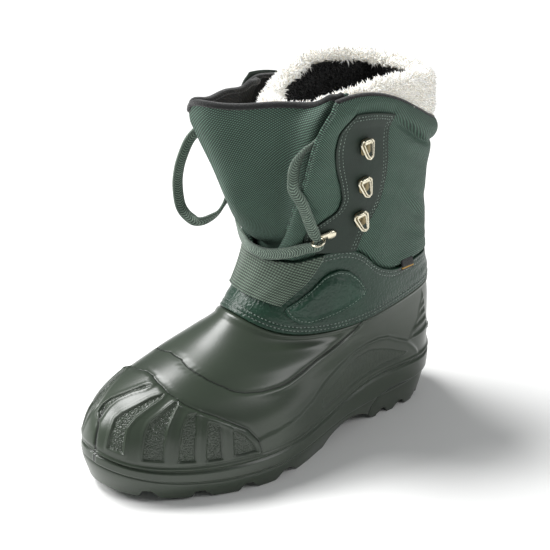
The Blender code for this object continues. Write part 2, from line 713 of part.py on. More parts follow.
# ================================================================ hardware and lace
def local_frame(level, around, out):
    """A place on the boot's face with its axes: forward round the boot, up, and out."""
    level, around = np.asarray(float(level)), np.asarray(float(around))
    origin = skin(level, around, np.asarray(out))
    away = normal(level, around)
    up = form(level + 0.02, around) - form(level - 0.02, around)
    up = up - away * up.dot(away)
    up = up / np.linalg.norm(up)
    return origin, np.cross(away, up), up, away


def box(name, centre, axes, size, folder):
    block = bmesh.new()
    bmesh.ops.create_cube(block, size=MM)
    data = bpy.data.meshes.new(name)
    block.to_mesh(data)
    block.free()
    made = add_object(name, data, folder)
    side, up, away = (Vector(a) for a in axes)
    turn = Matrix((side, up, away)).transposed().to_4x4()
    data.transform(Matrix.Translation(Vector(centre) * MM) @ turn @ Matrix.Diagonal((*size, 1)))
    return made


def joined(name, pieces, surface):
    """Fuses overlapping pieces into one object of the boot."""
    whole = pieces[0]
    for piece in pieces[1:]:
        boolean(whole, "UNION", piece)
    baked(whole)
    weld(whole.data)
    for piece in pieces[1:]:
        bpy.data.objects.remove(piece)
    for folder in whole.users_collection:
        folder.objects.unlink(whole)
    whole.name = name
    whole.data.name = name
    BOOT.objects.link(whole)
    whole.data.materials.clear()
    whole.data.materials.append(surface)
    return whole


def add_hook(name, place, brass):
    """A triangular wire ring, narrow end down, held by a folded clip on a base plate."""
    origin, *axes = plate_frame(place)
    forward, up, away = axes

    def spot(s, u, a):
        return origin + forward * s + up * u + away * a

    plate = box(name + "_plate", spot(0, 0, HOOK_PLATE[2] / 2), axes, HOOK_PLATE, CUTTERS)
    clip = box(name + "_clip", spot(0, CLIP_UP, HOOK_CLIP[2] / 2), axes, HOOK_CLIP, CUTTERS)
    ring = as_mesh(cord(name + "_ring", [spot(*p) for p in HOOK_RING], WIRE, CUTTERS, None,
                        sides=1, loop=True))
    return joined(name, [plate, clip, ring], brass)


def plate_frame(place):
    """Where a plate lies on the leather facing, with its axes: forward, up, and out."""
    around, level = place
    return local_frame(level, around, SHAFT_PUFF + REST + EYESTAY_LEATHER + SEAT)


def add_ring_hook(name, brass):
    """A riveted tab with a round eye that the lace runs through."""
    origin, *axes = plate_frame(RING_HOOK)
    forward, up, away = axes

    def spot(s, u, a):
        return origin + forward * s + up * u + away * a

    bpy.ops.mesh.primitive_cylinder_add(vertices=12, radius=RIVET_RADIUS * MM,
                                        depth=RIVET_HEIGHT * MM)
    rivet = bpy.context.object
    rivet.name = name + "_rivet"
    turn = Matrix([Vector(a) for a in axes]).transposed().to_4x4()
    rivet.data.transform(Matrix.Translation(Vector(spot(0, 0, RIVET_HEIGHT / 2)) * MM) @ turn)
    tab = box(name + "_tab", spot(TAB_AHEAD, TAB_UP, RING_TAB[2] / 2), axes, RING_TAB, CUTTERS)
    route = [spot(EYE_AHEAD + EYE_RADIUS * math.cos(a), EYE_UP, EYE_OUT + EYE_RADIUS * math.sin(a))
             for a in np.linspace(0, 2 * math.pi, 10, endpoint=False)]
    ring = as_mesh(cord(name + "_eye", route, WIRE, CUTTERS, None, sides=1, loop=True))
    return joined(name, [rivet, tab, ring], brass)


def eye_centre():
    """Centre of the outer ring hook's eye, and the way the lace runs through it."""
    origin, forward, up, away = plate_frame(RING_HOOK)
    return origin + forward * EYE_AHEAD + up * EYE_UP + away * EYE_OUT, up


def add_hardware():
    """Three lace hooks and a ring hook on each facing."""
    brass = material("pale_brass", "B9AE8C", 0.3, 1.0)
    for number, place in enumerate(HOOKS, 1):
        hook = add_hook(f"lace_hook_outer_{number}", place, brass)
        mirror_of(hook, f"lace_hook_inner_{number}")
    mirror_of(add_ring_hook("ring_hook_outer", brass), "ring_hook_inner")


def add_lace():
    """The lace: a bar across the foot of the throat and the two ends that rise from it."""
    braid = material("braided_lace", "33413A", 0.85)
    eye, up = eye_centre()
    flip = np.array((-1, 1, 1))
    levels, around, out = np.array(LACE_BAR).T
    foot = np.array((eye - up * LACE_GAP, eye - up * LACE_DROP))
    bar = (*foot, *skin(levels, around, out), *(foot * flip)[::-1])
    tube = cord("lace_bar", smooth_route(bar, BAR_POINTS), LACE_RADIUS, CUTTERS, None)
    joined("lace_bar", [as_mesh(tube)], braid)
    start = np.array((eye + up * LACE_GAP, eye + up * LACE_RISE))
    outer = smooth_route((*start, *OUTER_END), OUTER_POINTS)
    inner = smooth_route((*(start * flip), *INNER_END), INNER_POINTS)
    cord("lace_end_outer", outer, LACE_RADIUS, BOOT, braid)
    cord("lace_end_inner", inner, LACE_RADIUS, BOOT, braid)


# ================================================================ fur liner
def liner_rings():
    """Rings of the sock: outer face, tufted rim, pile lining and inner floor."""
    clear = GALOSH_WALL + 0.9
    profile = (                 # level, mm inside the form
        (FLOOR_LEVEL + 0.05, clear + 4.5), (1.70, clear + 2.0), (2.40, clear + 0.5),
        (3.60, clear), (4.80, clear), (5.80, clear + 0.2), (6.60, clear + 0.4),
        (RIM_LEVEL, clear), (8.60, clear + 1.0), (10.20, clear), (12.00, clear - 1.0),
        (12.85, clear - 0.5), (13.00, clear + RIM_WALL / 2),
        (12.85, clear + RIM_WALL), (11.80, clear + RIM_WALL), (9.90, clear + LINER_WALL),
        (8.20, clear + LINER_WALL), (6.80, clear + LINER_WALL), (5.40, clear + LINER_WALL),
        (4.00, clear + LINER_WALL), (2.60, clear + LINER_WALL + 1), (1.85, clear + LINER_WALL + 5),
    )
    around = around_columns()
    rings = []
    for level, inside in profile:
        ring = skin(level, around, np.full(RING_COLUMNS, -inside), SOCK_ROWS)
        if level > 12.8:
            tuft = np.arange(RING_COLUMNS) % 2
            ring[:, 2] += TUFT_HEIGHT * tuft
        rings.append(ring)
    return np.array(rings)


def add_liner():
    add_cup("fur_liner", liner_rings(), material("cream_fur", "E4DCC8", 0.95))


# ================================================================ build
for old in list(bpy.data.objects):
    bpy.data.objects.remove(old)
BOOT = bpy.data.collections.new("fishing_boot")
CUTTERS = bpy.data.collections.new("cutters")
TREAD = bpy.data.collections.new("tread_cutters")
for folder in (BOOT, CUTTERS, TREAD):
    bpy.context.scene.collection.children.link(folder)

add_galosh()
band_leather = add_band()
shaft_fabric = add_shaft()
add_tongue(shaft_fabric)
add_eyestays()
add_patches(band_leather)
add_strap()
add_hardware()
add_lace()
add_liner()
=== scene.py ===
"""A left fishing boot for cold weather, dressed in the order in which it is put together."""
import math

import bpy
import numpy as np
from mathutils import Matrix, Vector


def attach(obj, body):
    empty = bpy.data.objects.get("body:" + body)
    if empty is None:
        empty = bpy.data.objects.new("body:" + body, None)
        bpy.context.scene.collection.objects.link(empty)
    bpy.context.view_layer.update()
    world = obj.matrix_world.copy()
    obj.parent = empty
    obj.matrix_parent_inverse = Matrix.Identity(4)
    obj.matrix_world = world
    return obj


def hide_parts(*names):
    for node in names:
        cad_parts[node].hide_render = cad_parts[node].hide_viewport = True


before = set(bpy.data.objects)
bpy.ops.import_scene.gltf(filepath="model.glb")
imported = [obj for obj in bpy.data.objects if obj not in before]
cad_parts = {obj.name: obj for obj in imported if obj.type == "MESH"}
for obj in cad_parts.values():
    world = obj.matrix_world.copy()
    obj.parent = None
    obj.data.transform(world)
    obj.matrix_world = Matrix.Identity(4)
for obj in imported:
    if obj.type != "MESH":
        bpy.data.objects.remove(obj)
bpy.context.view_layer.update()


# ================================================================ studio
# The boot stands on a plain pale floor under soft lamps. A long lens looks at it from ahead
# of its outer side and a little above.
def linear(code):
    """sRGB hex to linear light: c / 12.92 near black, else ((c + 0.055) / 1.055) ** 2.4."""
    c = np.array([int(code[place:place + 2], 16) for place in (0, 2, 4)]) / 255
    return (*np.where(c <= 0.04045, c / 12.92, ((c + 0.055) / 1.055) ** 2.4), 1.0)


def add(tree, kind, inputs=None, **settings):
    """Adds a node with its own settings. An input is a value, a node or socket to link, or
    the name of a point attribute."""
    made = tree.nodes.new("ShaderNode" + kind)
    for name, value in settings.items():
        setattr(made, name, value)
    for socket, value in (inputs or {}).items():
        if isinstance(value, str):
            value = add(tree, "Attribute", attribute_name=value).outputs["Fac"]
        if isinstance(value, bpy.types.Node):
            value = value.outputs[0]
        if isinstance(value, bpy.types.NodeSocket):
            tree.links.new(value, made.inputs[socket])
        else:
            made.inputs[socket].default_value = value
    return made


def new_finish(name, **constants):
    """A Principled material whose constant values sit on the shader's own sockets."""
    made = bpy.data.materials.new(name)
    made.use_nodes = True
    shader = made.node_tree.nodes["Principled BSDF"]
    for socket, value in constants.items():
        shader.inputs[socket.replace("_", " ")].default_value = value
    return made, made.node_tree, shader


def dress(tree, shader, ground, layers, height=None, distance=0.0, strength=1.0):
    """Links a finish's colour and relief: a ground tone, further tones laid over it by their
    shares, low * (1 - share) + high * share, and a bump of height * distance in metres."""
    tone = linear(ground)
    for share, layer in layers:
        layer = linear(layer) if isinstance(layer, str) else layer
        tone = add(tree, "Mix", {0: share, 6: tone, 7: layer}, data_type="RGBA").outputs[2]
    tree.links.new(tone, shader.inputs["Base Color"])
    if height is not None:
        relief = add(tree, "Bump", {"Strength": strength, "Distance": distance,
                                    "Height": height})
        tree.links.new(relief.outputs[0], shader.inputs["Normal"])


def stand(name, data, place, facing, axis):
    """Sets a lamp or the camera in the scene, with one of its own axes along `facing`."""
    holder = bpy.data.objects.new(name, data)
    holder.location = place
    holder.rotation_euler = Vector(facing).to_track_quat(axis, "Y").to_euler()
    bpy.context.scene.collection.objects.link(holder)
    return holder


FLOOR_SIZE, FLOOR_DROP = 8, 0.0002      # m, a hair under the tread
bpy.ops.mesh.primitive_grid_add(x_subdivisions=8, y_subdivisions=8, size=FLOOR_SIZE,
                                location=(0, 0, -FLOOR_DROP))
floor = bpy.context.object
floor.name = "floor"
# Matt painted board: even and pale, with a breath of unevenness.
board, tree, shader = new_finish("matt_painted_board", Roughness=0.9)
mottle = add(tree, "TexNoise", {"Scale": 3.0, "Detail": 3.0})
dress(tree, shader, "F4F4F3", [(mottle, "F8F8F7")])
floor.data.materials.append(board)

world = bpy.data.worlds.new("studio")
world.use_nodes = True
sky = world.node_tree.nodes["Background"].inputs
sky[0].default_value = linear("F2F5F7")
sky[1].default_value = 0.24
bpy.context.scene.world = world
bpy.context.scene.view_settings.view_transform = "Standard"
LAMPS = (                       # place, watts, breadth, aimed at, all in metres
    ((-0.85, -1.10, 0.90), 15.0, 0.58, (0.0, -0.13, 0.08)),
    ((0.95, 0.30, 0.80), 3.8, 0.60, (0.03, -0.12, 0.08)),
)
for place, power, breadth, aim in LAMPS:
    lamp = bpy.data.lights.new("softbox", "AREA")
    lamp.energy, lamp.size, lamp.shape = power, breadth, "DISK"
    stand("softbox", lamp, place, Vector(aim) - Vector(place), "-Z")
overhead = bpy.data.lights.new("overhead", "SUN")
overhead.energy, overhead.angle = 3.3, math.radians(28)
stand("overhead", overhead, (0, 0, 0), (-0.50, -0.20, 0.90), "Z")

AZIMUTH, ELEVATION = math.radians(51.5), math.radians(25.2)
LOOKS_AT, DISTANCE = Vector((0.0, -0.100, 0.130)), 1.220
toward_lens = Vector((math.sin(AZIMUTH) * math.cos(ELEVATION),
                      -math.cos(AZIMUTH) * math.cos(ELEVATION), math.sin(ELEVATION)))
optics = bpy.data.cameras.new("camera")
optics.lens, optics.clip_start = 106.6, 0.05
bpy.context.scene.camera = stand("camera", optics, LOOKS_AT + toward_lens * DISTANCE,
                                 toward_lens, "Z")


# ================================================================ galosh and sole
# One moulding of foam rubber, satin and dark grey green: lugged sole, bumper, vamp, counter
# and a raised toe cap with pebbled strips. It comes from the mould in one shot.
# Every skin of the boot is a form of level, up the last, and around, from the heel's back
# round the outer side to the toe and back, both in mm.
STATIONS = (0.0, 0.035, 0.13, 0.36, 0.60, 0.82, 0.955, 1.0)
END_WIDTH = 0.60
# back y, back z, front y, front z, rise, dip, crest, widths at heel waist ball toe, bow
FOOT_ROWS = (
    (39, 0, -260, 9, 9.0, 0, 0, 37, 37, 55, 49, 8),
    (44, 26, -265, 29, 6.0, 22, 0, 42, 42, 57, 51, 8),
    (45, 44, -264, 39, 6.0, 25, 0, 43, 43, 57, 50, 8),
    (45, 58, -256, 56, 5.0, 10, 0, 43, 43, 55, 48, 8),
    (44, 70, -240, 70, 3.0, 4, 0, 42, 43, 51, 44, 7),
    (43, 80, -210, 83, 3.0, 3, 0, 41, 44, 48, 40, 6),
    (41, 92, -170, 97, 4.0, 10, 0, 40, 45, 46, 38, 4),
    (38, 106, -141, 112, 8.0, 16, 0, 39, 46, 46, 37, 3),
    (33, 124, -120, 134, 2.0, 4, 0, 39, 47, 48, 39, 2),
)
SHAFT_ROWS = (
    (28, 146, -113, 162, 1.0, 0, 1, 39, 48, 50, 41, 0),
    (26, 175, -127, 198, 1.0, 0, 6, 40, 50, 52, 42, 0),
    (29, 205, -144, 236, 1.0, 0, 15, 42, 53, 55, 47, 0),
    (34, 236, -154, 271, 1.0, 0, 26, 44, 55, 57, 50, 0),
)
BOOT_ROWS = np.array(FOOT_ROWS + SHAFT_ROWS, float)
RING_POINTS = 2 * len(STATIONS) - 2
ring_eye = np.eye(RING_POINTS)
RING_SPLINE = 6 * np.linalg.inv(4 * ring_eye + np.roll(ring_eye, 1, 0)
                                + np.roll(ring_eye, -1, 0))


def row_at(level, rows):
    """Row values at fractional levels: cubics from row to row, whose slopes are the mean of
    the steps on both sides, held to 3 steps and to 0 at a turn, so that none overshoots."""
    steps = np.diff(rows, axis=0)
    slopes = np.vstack((steps[:1], (steps[1:] + steps[:-1]) / 2, steps[-1:]))
    for first in (0, 1):
        near = slopes[first:len(steps) + first]
        near[near * steps < 0] = 0
        np.clip(near, -3 * np.abs(steps), 3 * np.abs(steps), out=near)
    low = np.clip(np.floor(level).astype(int), 0, len(rows) - 2)
    s = (level - low)[:, None]
    return ((2 * s**3 - 3 * s**2 + 1) * rows[low] + (s**3 - 2 * s**2 + s) * slopes[low]
            + (3 * s**2 - 2 * s**3) * rows[low + 1] + (s**3 - s**2) * slopes[low + 1])


def ring_points(rows):
    """The points a ring passes through. With s from back to front, y runs straight,
    z = back - dip s + (front - back + dip) s ** rise + crest sin(pi s) ** 2, and the middle
    line bows inward by bow sin(1.35 pi (s - 0.25) / 0.75)."""
    (back_y, back_z, front_y, front_z, rise, dip, crest,
     heel, waist, ball, toe, bow) = rows.T[:, :, None]
    s = np.array(STATIONS)
    none = np.zeros_like(heel)
    width = np.hstack((none, END_WIDTH * heel, heel, waist, ball, toe, END_WIDTH * toe, none))
    middle = bow * np.sin(1.35 * math.pi * np.clip((s - 0.25) / 0.75, 0, 1))
    y = back_y + (front_y - back_y) * s
    z = (back_z - dip * s + (front_z - back_z + dip) * s ** rise
         + crest * np.sin(math.pi * s) ** 2)
    outer, inner = (np.stack((middle + side * width, y, z), -1) for side in (1, -1))
    return np.concatenate((outer, inner[:, -2:0:-1]), 1)


def spline_weights(t):
    """Weights, in sixths, of the four points around a place on a cubic B-spline."""
    return (1 - t)**3, 3 * t**3 - 6 * t**2 + 4, -3 * t**3 + 3 * t**2 + 3 * t + 1, t**3


def form(level, around, rows=BOOT_ROWS):
    """Points of the last: a closed cubic B-spline through each level's ring points."""
    level, around = np.broadcast_arrays(np.asarray(level, float), np.asarray(around, float))
    controls = np.einsum("ij,njk->nik", RING_SPLINE, ring_points(row_at(level.ravel(), rows)))
    step = (around.ravel() % 1.0) * RING_POINTS
    first = np.floor(step).astype(int)
    index = np.arange(len(first))
    points = sum(weight * controls[index, (first + shift) % RING_POINTS]
                 for shift, weight in enumerate(spline_weights((step - first)[:, None]), -1))
    return (points / 6).reshape(level.shape + (3,))


def unit(vectors):
    """Vectors at length 1."""
    return vectors / np.linalg.norm(vectors, axis=-1, keepdims=True)


def normal(level, around, rows=BOOT_ROWS):
    """Outward unit normals: d(point)/d(level) x d(point)/d(around)."""
    up = form(level + 0.01, around, rows) - form(level - 0.01, around, rows)
    along = form(level, around + 0.002, rows) - form(level, around - 0.002, rows)
    return unit(np.cross(up, along))


def skin(level, around, out, rows=BOOT_ROWS):
    """Points `out` mm outside the last."""
    level, around = np.broadcast_arrays(np.asarray(level, float), np.asarray(around, float))
    return form(level, around, rows) + normal(level, around, rows) * np.asarray(out)[..., None]


def folded(around):
    """The same place on the outer side, for a pattern that both sides share."""
    around = around % 1.0
    return np.minimum(around, 1 - around)


def smooth_column(table, x, soft, column=1):
    """A table's column at x: straight runs, averaged over x +- soft to round the corners."""
    table = np.asarray(table, float)
    spread = np.linspace(-1, 1, 9) * soft
    return np.mean([np.interp(x + d, table[:, 0], table[:, column]) for d in spread], 0)


def step_up(x, low, high):
    """0 below low, 1 above high, and 3 t^2 - 2 t^3 between."""
    t = np.clip((x - low) / (high - low), 0, 1)
    return t * t * (3 - 2 * t)


def bump_at(x, centre, width):
    """exp(-((x - centre) / width) ** 2), a rounded ridge of height 1."""
    return np.exp(-((x - centre) / width) ** 2)


def subdivided(corners, steps):
    """A closed outline with each of its edges in `steps` equal parts."""
    share = np.linspace(0, 1, steps + 1)[:-1, None]
    edges = np.roll(corners, -1, 0) - corners
    return (corners[:, None] + edges[:, None] * share).reshape(-1, corners.shape[1])


FAR = 9.0                       # mm, past the reach of every crease and step
NEAR = 6.0                      # mm round a patch within which distances are worked out


def patch_distance(points, place, corners, both_sides):
    """Signed mm from each point to a patch's outline on the last, below 0 inside it. The
    length comes from the nearest edge |p - a - t (b - a)|, with t held to 0..1. The sign
    comes from counting the edges that a ray of constant level crosses."""
    signed = np.full(len(points), FAR)
    for flip in (False, True)[:1 + both_sides]:
        outline = np.array(corners, float)
        if flip:
            outline[:, 0] = 1 - outline[:, 0]
        fine = subdivided(outline, 4)
        edge = form(fine[:, 1], fine[:, 0])
        near = np.all((points > edge.min(0) - NEAR) & (points < edge.max(0) + NEAR), 1)
        p, spot = points[near], place[near]
        best, inside = np.full(len(p), FAR ** 2), np.zeros(len(p), bool)
        for a, b in zip(edge, np.roll(edge, -1, 0)):
            run = b - a
            t = np.clip((p - a) @ run / max(run @ run, 1e-9), 0, 1)
            best = np.minimum(best, ((p - a - t[:, None] * run) ** 2).sum(1))
        for (ua, la), (ub, lb) in zip(outline, np.roll(outline, -1, 0)):
            if la != lb:
                crosses = (spot[:, 1] < la) != (spot[:, 1] < lb)
                inside ^= crosses & (spot[:, 0] < ua + (spot[:, 1] - la) * (ub - ua) / (lb - la))
        signed[near] = np.minimum(signed[near], np.sqrt(best) * np.where(inside, -1, 1))
    return signed


def over_middle(half, middle):
    """A whole outline from its outer half: the half, then its mirror image about the middle
    line at `middle` in reverse, with no points left on that line to draw an edge there."""
    half = np.array([corner for corner in half if corner[0] != middle], float)
    return np.vstack((half, (half * (-1, 1) + (2 * middle, 0))[::-1]))


def numbered(rows, columns, poles=()):
    """Point numbers of a grid. Each row named in `poles` is drawn together to one point."""
    ids = np.arange(rows * columns).reshape(rows, columns)
    for row in poles:
        ids[row] = ids[row, 0]
    return ids


def closed_below(ids):
    """Joins both sides of the first and last rows, which lie on the sole's middle line."""
    columns = np.arange(ids.shape[1])
    pair = np.minimum(columns, ids.shape[1] - columns)
    for row in (0, -1):
        ids[row] = ids[row, pair]
    return ids


def quads(ids, round_columns=True):
    """Faces of a grid of point numbers, rows up and columns around, seen from outside."""
    if round_columns:
        ids = np.column_stack((ids, ids[:, 0]))
    faces = np.stack((ids[:-1, :-1], ids[1:, :-1], ids[1:, 1:], ids[:-1, 1:]), -1)
    return faces.reshape(-1, 4)

def make_piece(name, points, faces, finish, node=None, slot=None, uv=None, **fields):
    """A smooth mesh from points in mm. Points that no face uses are left out. Fields become
    point attributes; uv is one pair for each face corner."""
    points = np.asarray(points, float).reshape(-1, 3)
    used, corners = np.unique(faces, return_inverse=True)
    corners = corners.reshape(faces.shape)
    data = bpy.data.meshes.new(name)
    data.vertices.add(len(used))
    data.vertices.foreach_set("co", (points[used] * 0.001).ravel())
    apart = corners != np.roll(corners, 1, 1)       # a pole's faces have a corner less
    whole_face = apart.sum(1) > 2
    corners, apart = corners[whole_face], apart[whole_face]
    sizes = apart.sum(1)
    data.loops.add(int(sizes.sum()))
    data.loops.foreach_set("vertex_index", corners[apart])
    data.polygons.add(len(corners))
    data.polygons.foreach_set("loop_start", np.cumsum(sizes) - sizes)
    for field, values in fields.items():
        layer = data.attributes.new(field, "FLOAT", "POINT")
        layer.data.foreach_set("value", np.asarray(values, np.float32).ravel()[used])
    if uv is not None:
        pairs = np.asarray(uv, float).reshape(len(whole_face), -1, 2)[whole_face]
        data.uv_layers.new(name="run").data.foreach_set("uv", pairs[apart].ravel())
    data.update(calc_edges=True)
    data.polygons.foreach_set("use_smooth", np.ones(len(corners), bool))
    data.materials.append(finish)
    made = bpy.data.objects.new(name, data)
    bpy.context.scene.collection.objects.link(made)
    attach(made, "root")
    if node:
        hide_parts(node)
    return made


GALOSH_WALL, RIM_LEVEL, BAND_FOOT, FLOOR_LEVEL = 6.0, 7.45, 7.0, 1.25
BAND_OUT, BAND_LEATHER = 1.3, 2.2
TUCK = BAND_OUT - BAND_LEATHER - 0.6
LUG_LEVEL = 0.93
LUG_DEPTH = 6.0
# notches of the tread's edge: around, width at the floor, width at its root, length
NOTCHES = (
    (0.170, 12, 5, 22), (0.148, 13, 5, 22), (0.108, 13, 5, 22),
    (0.283, 22, 7, 34), (0.318, 16, 6, 34), (0.357, 18, 7, 34), (0.412, 22, 7, 34),
)
ARCH_Y, ARCH_SPAN, ARCH_HEIGHT = -62.5, 59.0, 12.5
# the bead over the bumper: around, level
BEAD = (
    (0.0, 2.05), (0.125, 2.12), (0.176, 2.34), (0.194, 2.34), (0.207, 2.23), (0.220, 2.08),
    (0.236, 1.96), (0.285, 1.88), (0.360, 1.82), (0.430, 1.84), (0.480, 1.98), (0.5, 1.98),
)
# outlines on the last: around, level
VAMP = (
    (0.5, 5.58), (0.480, 5.50), (0.462, 5.42), (0.435, 5.30), (0.408, 5.14), (0.385, 4.94),
    (0.366, 4.74), (0.350, 4.50), (0.336, 4.35), (0.320, 4.27), (0.306, 4.29), (0.298, 4.38),
    (0.290, 4.69), (0.283, 5.08), (0.275, 5.50), (0.269, 5.95), (0.266, 6.5), (0.262, 7.6),
    (0.5, 7.6),
)
SWOOSH = (
    (0.130, 1.95), (0.140, 2.60), (0.155, 3.33), (0.168, 3.75), (0.182, 4.28), (0.196, 4.55),
    (0.210, 4.56), (0.222, 4.38), (0.230, 3.98), (0.240, 3.68), (0.250, 3.38), (0.260, 2.98),
    (0.275, 2.70), (0.292, 2.57), (0.310, 2.48), (0.312, 1.80), (0.236, 1.85), (0.200, 2.2),
    (0.176, 2.2),
)
MATTE = (
    (0.155, 2.74), (0.171, 3.18), (0.188, 3.66), (0.201, 3.92), (0.215, 3.80), (0.225, 3.38),
    (0.236, 3.05), (0.248, 2.74), (0.247, 2.42), (0.230, 2.42), (0.211, 2.51), (0.197, 2.62),
    (0.180, 2.72), (0.158, 2.66),
)
HEEL_BLOCK = (
    (0.0, 0.98), (0.099, 0.98), (0.14, 1.07), (0.157, 1.15), (0.171, 1.17), (0.180, 1.06),
    (0.186, 0.62), (0.185, -1.0), (0.0, -1.0),
)
RIB_FIELD = (
    (0.153, 3.30), (0.149, 3.75), (0.144, 4.20), (0.141, 4.70), (0.143, 5.60), (0.140, 6.62),
    (0.0, 6.70), (0.0, 3.1), (0.10, 3.1),
)
STRIPS = (
    ((0.499, 3.15), (0.512, 3.30), (0.515, 3.62), (0.509, 3.93), (0.494, 4.25), (0.478, 4.60),
     (0.466, 4.72), (0.470, 4.58), (0.484, 4.36), (0.496, 4.05), (0.500, 3.75)),
    ((0.464, 2.36), (0.468, 3.08), (0.471, 3.40), (0.466, 3.68), (0.455, 4.00), (0.445, 4.32),
     (0.434, 4.50), (0.431, 4.36), (0.438, 3.95), (0.444, 3.60), (0.447, 3.20), (0.443, 2.78),
     (0.440, 2.30)),
    ((0.415, 2.20), (0.417, 2.68), (0.420, 3.12), (0.420, 3.45), (0.413, 3.78), (0.409, 4.10),
     (0.405, 4.28), (0.400, 4.12), (0.397, 3.70), (0.396, 3.20), (0.393, 2.62), (0.391, 2.20)),
    ((0.377, 2.18), (0.378, 2.80), (0.380, 3.23), (0.380, 3.73), (0.371, 3.76), (0.366, 3.20),
     (0.363, 2.60), (0.361, 2.16)),
    ((0.352, 2.14), (0.354, 2.73), (0.357, 3.38), (0.346, 3.22), (0.342, 2.73), (0.339, 2.14)),
    ((0.334, 2.98), (0.324, 2.75), (0.317, 2.50), (0.312, 2.18), (0.323, 2.15), (0.330, 2.18),
     (0.332, 2.60)),
)
PARTING = ((1.4, 0.486), (2.15, 0.486), (2.85, 0.494), (3.48, 0.508), (3.9, 0.516))
CAP = (
    (0.490, 4.92), (0.450, 4.72), (0.410, 4.36), (0.375, 3.88), (0.352, 3.52), (0.335, 3.16),
    (0.322, 2.86), (0.312, 2.47), (0.308, 2.02), (0.306, 1.50), (0.306, -1.0),
)


def notch_height(x, y):
    """Height of the notches over the floor: each is a bar with slanted sides that lies along
    the last's normal at its place, from 8 mm outside the edge to its length inside."""
    height = np.zeros_like(x)
    for around, foot, head, length in NOTCHES:
        for place in (around, 1 - around):
            edge = form(0.0, place)
            away = unit(normal(0.05, place)[:2])
            over_x, over_y = x - edge[0], y - edge[1]
            inward = -(over_x * away[0] + over_y * away[1])
            aside = over_x * away[1] - over_y * away[0]
            side = np.clip((foot / 2 - np.abs(aside)) / ((foot - head) / 2), 0, 1)
            end = np.clip((length - inward) / 3, 0, 1)
            height = np.maximum(height, (edge[2] + LUG_DEPTH) * side * end)
    return height


def tread_height(x, y):
    """Underside over the floor: notches, a round arch of span 59 and height 12.5 mm, a
    groove down the forefoot's middle, and shallow cross grooves every 11 mm between."""
    radius = (ARCH_SPAN**2 / 4 + ARCH_HEIGHT**2) / (2 * ARCH_HEIGHT)
    arch = np.sqrt(np.maximum(radius**2 - (y - ARCH_Y) ** 2, 0)) - (radius - ARCH_HEIGHT)
    groove = 4.0 * np.clip((3.5 - np.abs(x - 1.5)) / 1.0, 0, 1)
    groove = groove * ((y > -226) & (y < -104))
    return np.maximum.reduce((notch_height(x, y), arch, groove, np.zeros_like(x)))


GALOSH_COLUMNS, WALL_ROWS, SOLE_ROWS = 600, 14, 18
TOE_MM = 520                    # mm over the toe cap in one unit of around
SPINE_ENDS, LINING_ENDS = (-222, 14), (-215, 14)    # y of their middle lines
CROSS_PITCH, CROSS_DEEP = 11, 0.9       # mm from groove to groove across the tread
around = np.arange(GALOSH_COLUMNS) / GALOSH_COLUMNS
edge = form(0.0, around)
edge_height = np.maximum(edge[:, 2], tread_height(edge[:, 0], edge[:, 1]))
level = np.zeros((WALL_ROWS, GALOSH_COLUMNS))
wall_top = form(LUG_LEVEL, around)[:, 2]
target = edge_height + (wall_top - edge_height) * np.linspace(0, 1, WALL_ROWS)[:, None]
for _ in range(4):              # levels at which the wall has the wanted heights
    level = np.clip(level + (target - form(level, around)[..., 2]) / (wall_top - edge[:, 2]),
                    0, LUG_LEVEL)
upper = np.concatenate((np.linspace(LUG_LEVEL + 0.02, 2.4, 32), np.linspace(2.45, 6.985, 66)))
level = np.vstack((level, np.repeat(upper[:, None], GALOSH_COLUMNS, 1)))
place = np.broadcast_to(around, level.shape)
side = folded(place)
outside = form(level, place)
flat_place = np.column_stack((place.ravel(), level.ravel()))
round_back = np.column_stack(((flat_place[:, 0] + 0.5) % 1.0 - 0.5, flat_place[:, 1]))


def field(corners, both_sides=False, places=flat_place):
    """Signed mm to an outline, all over the outer wall."""
    signed = patch_distance(outside.reshape(-1, 3), places, corners, both_sides)
    return signed.reshape(level.shape)


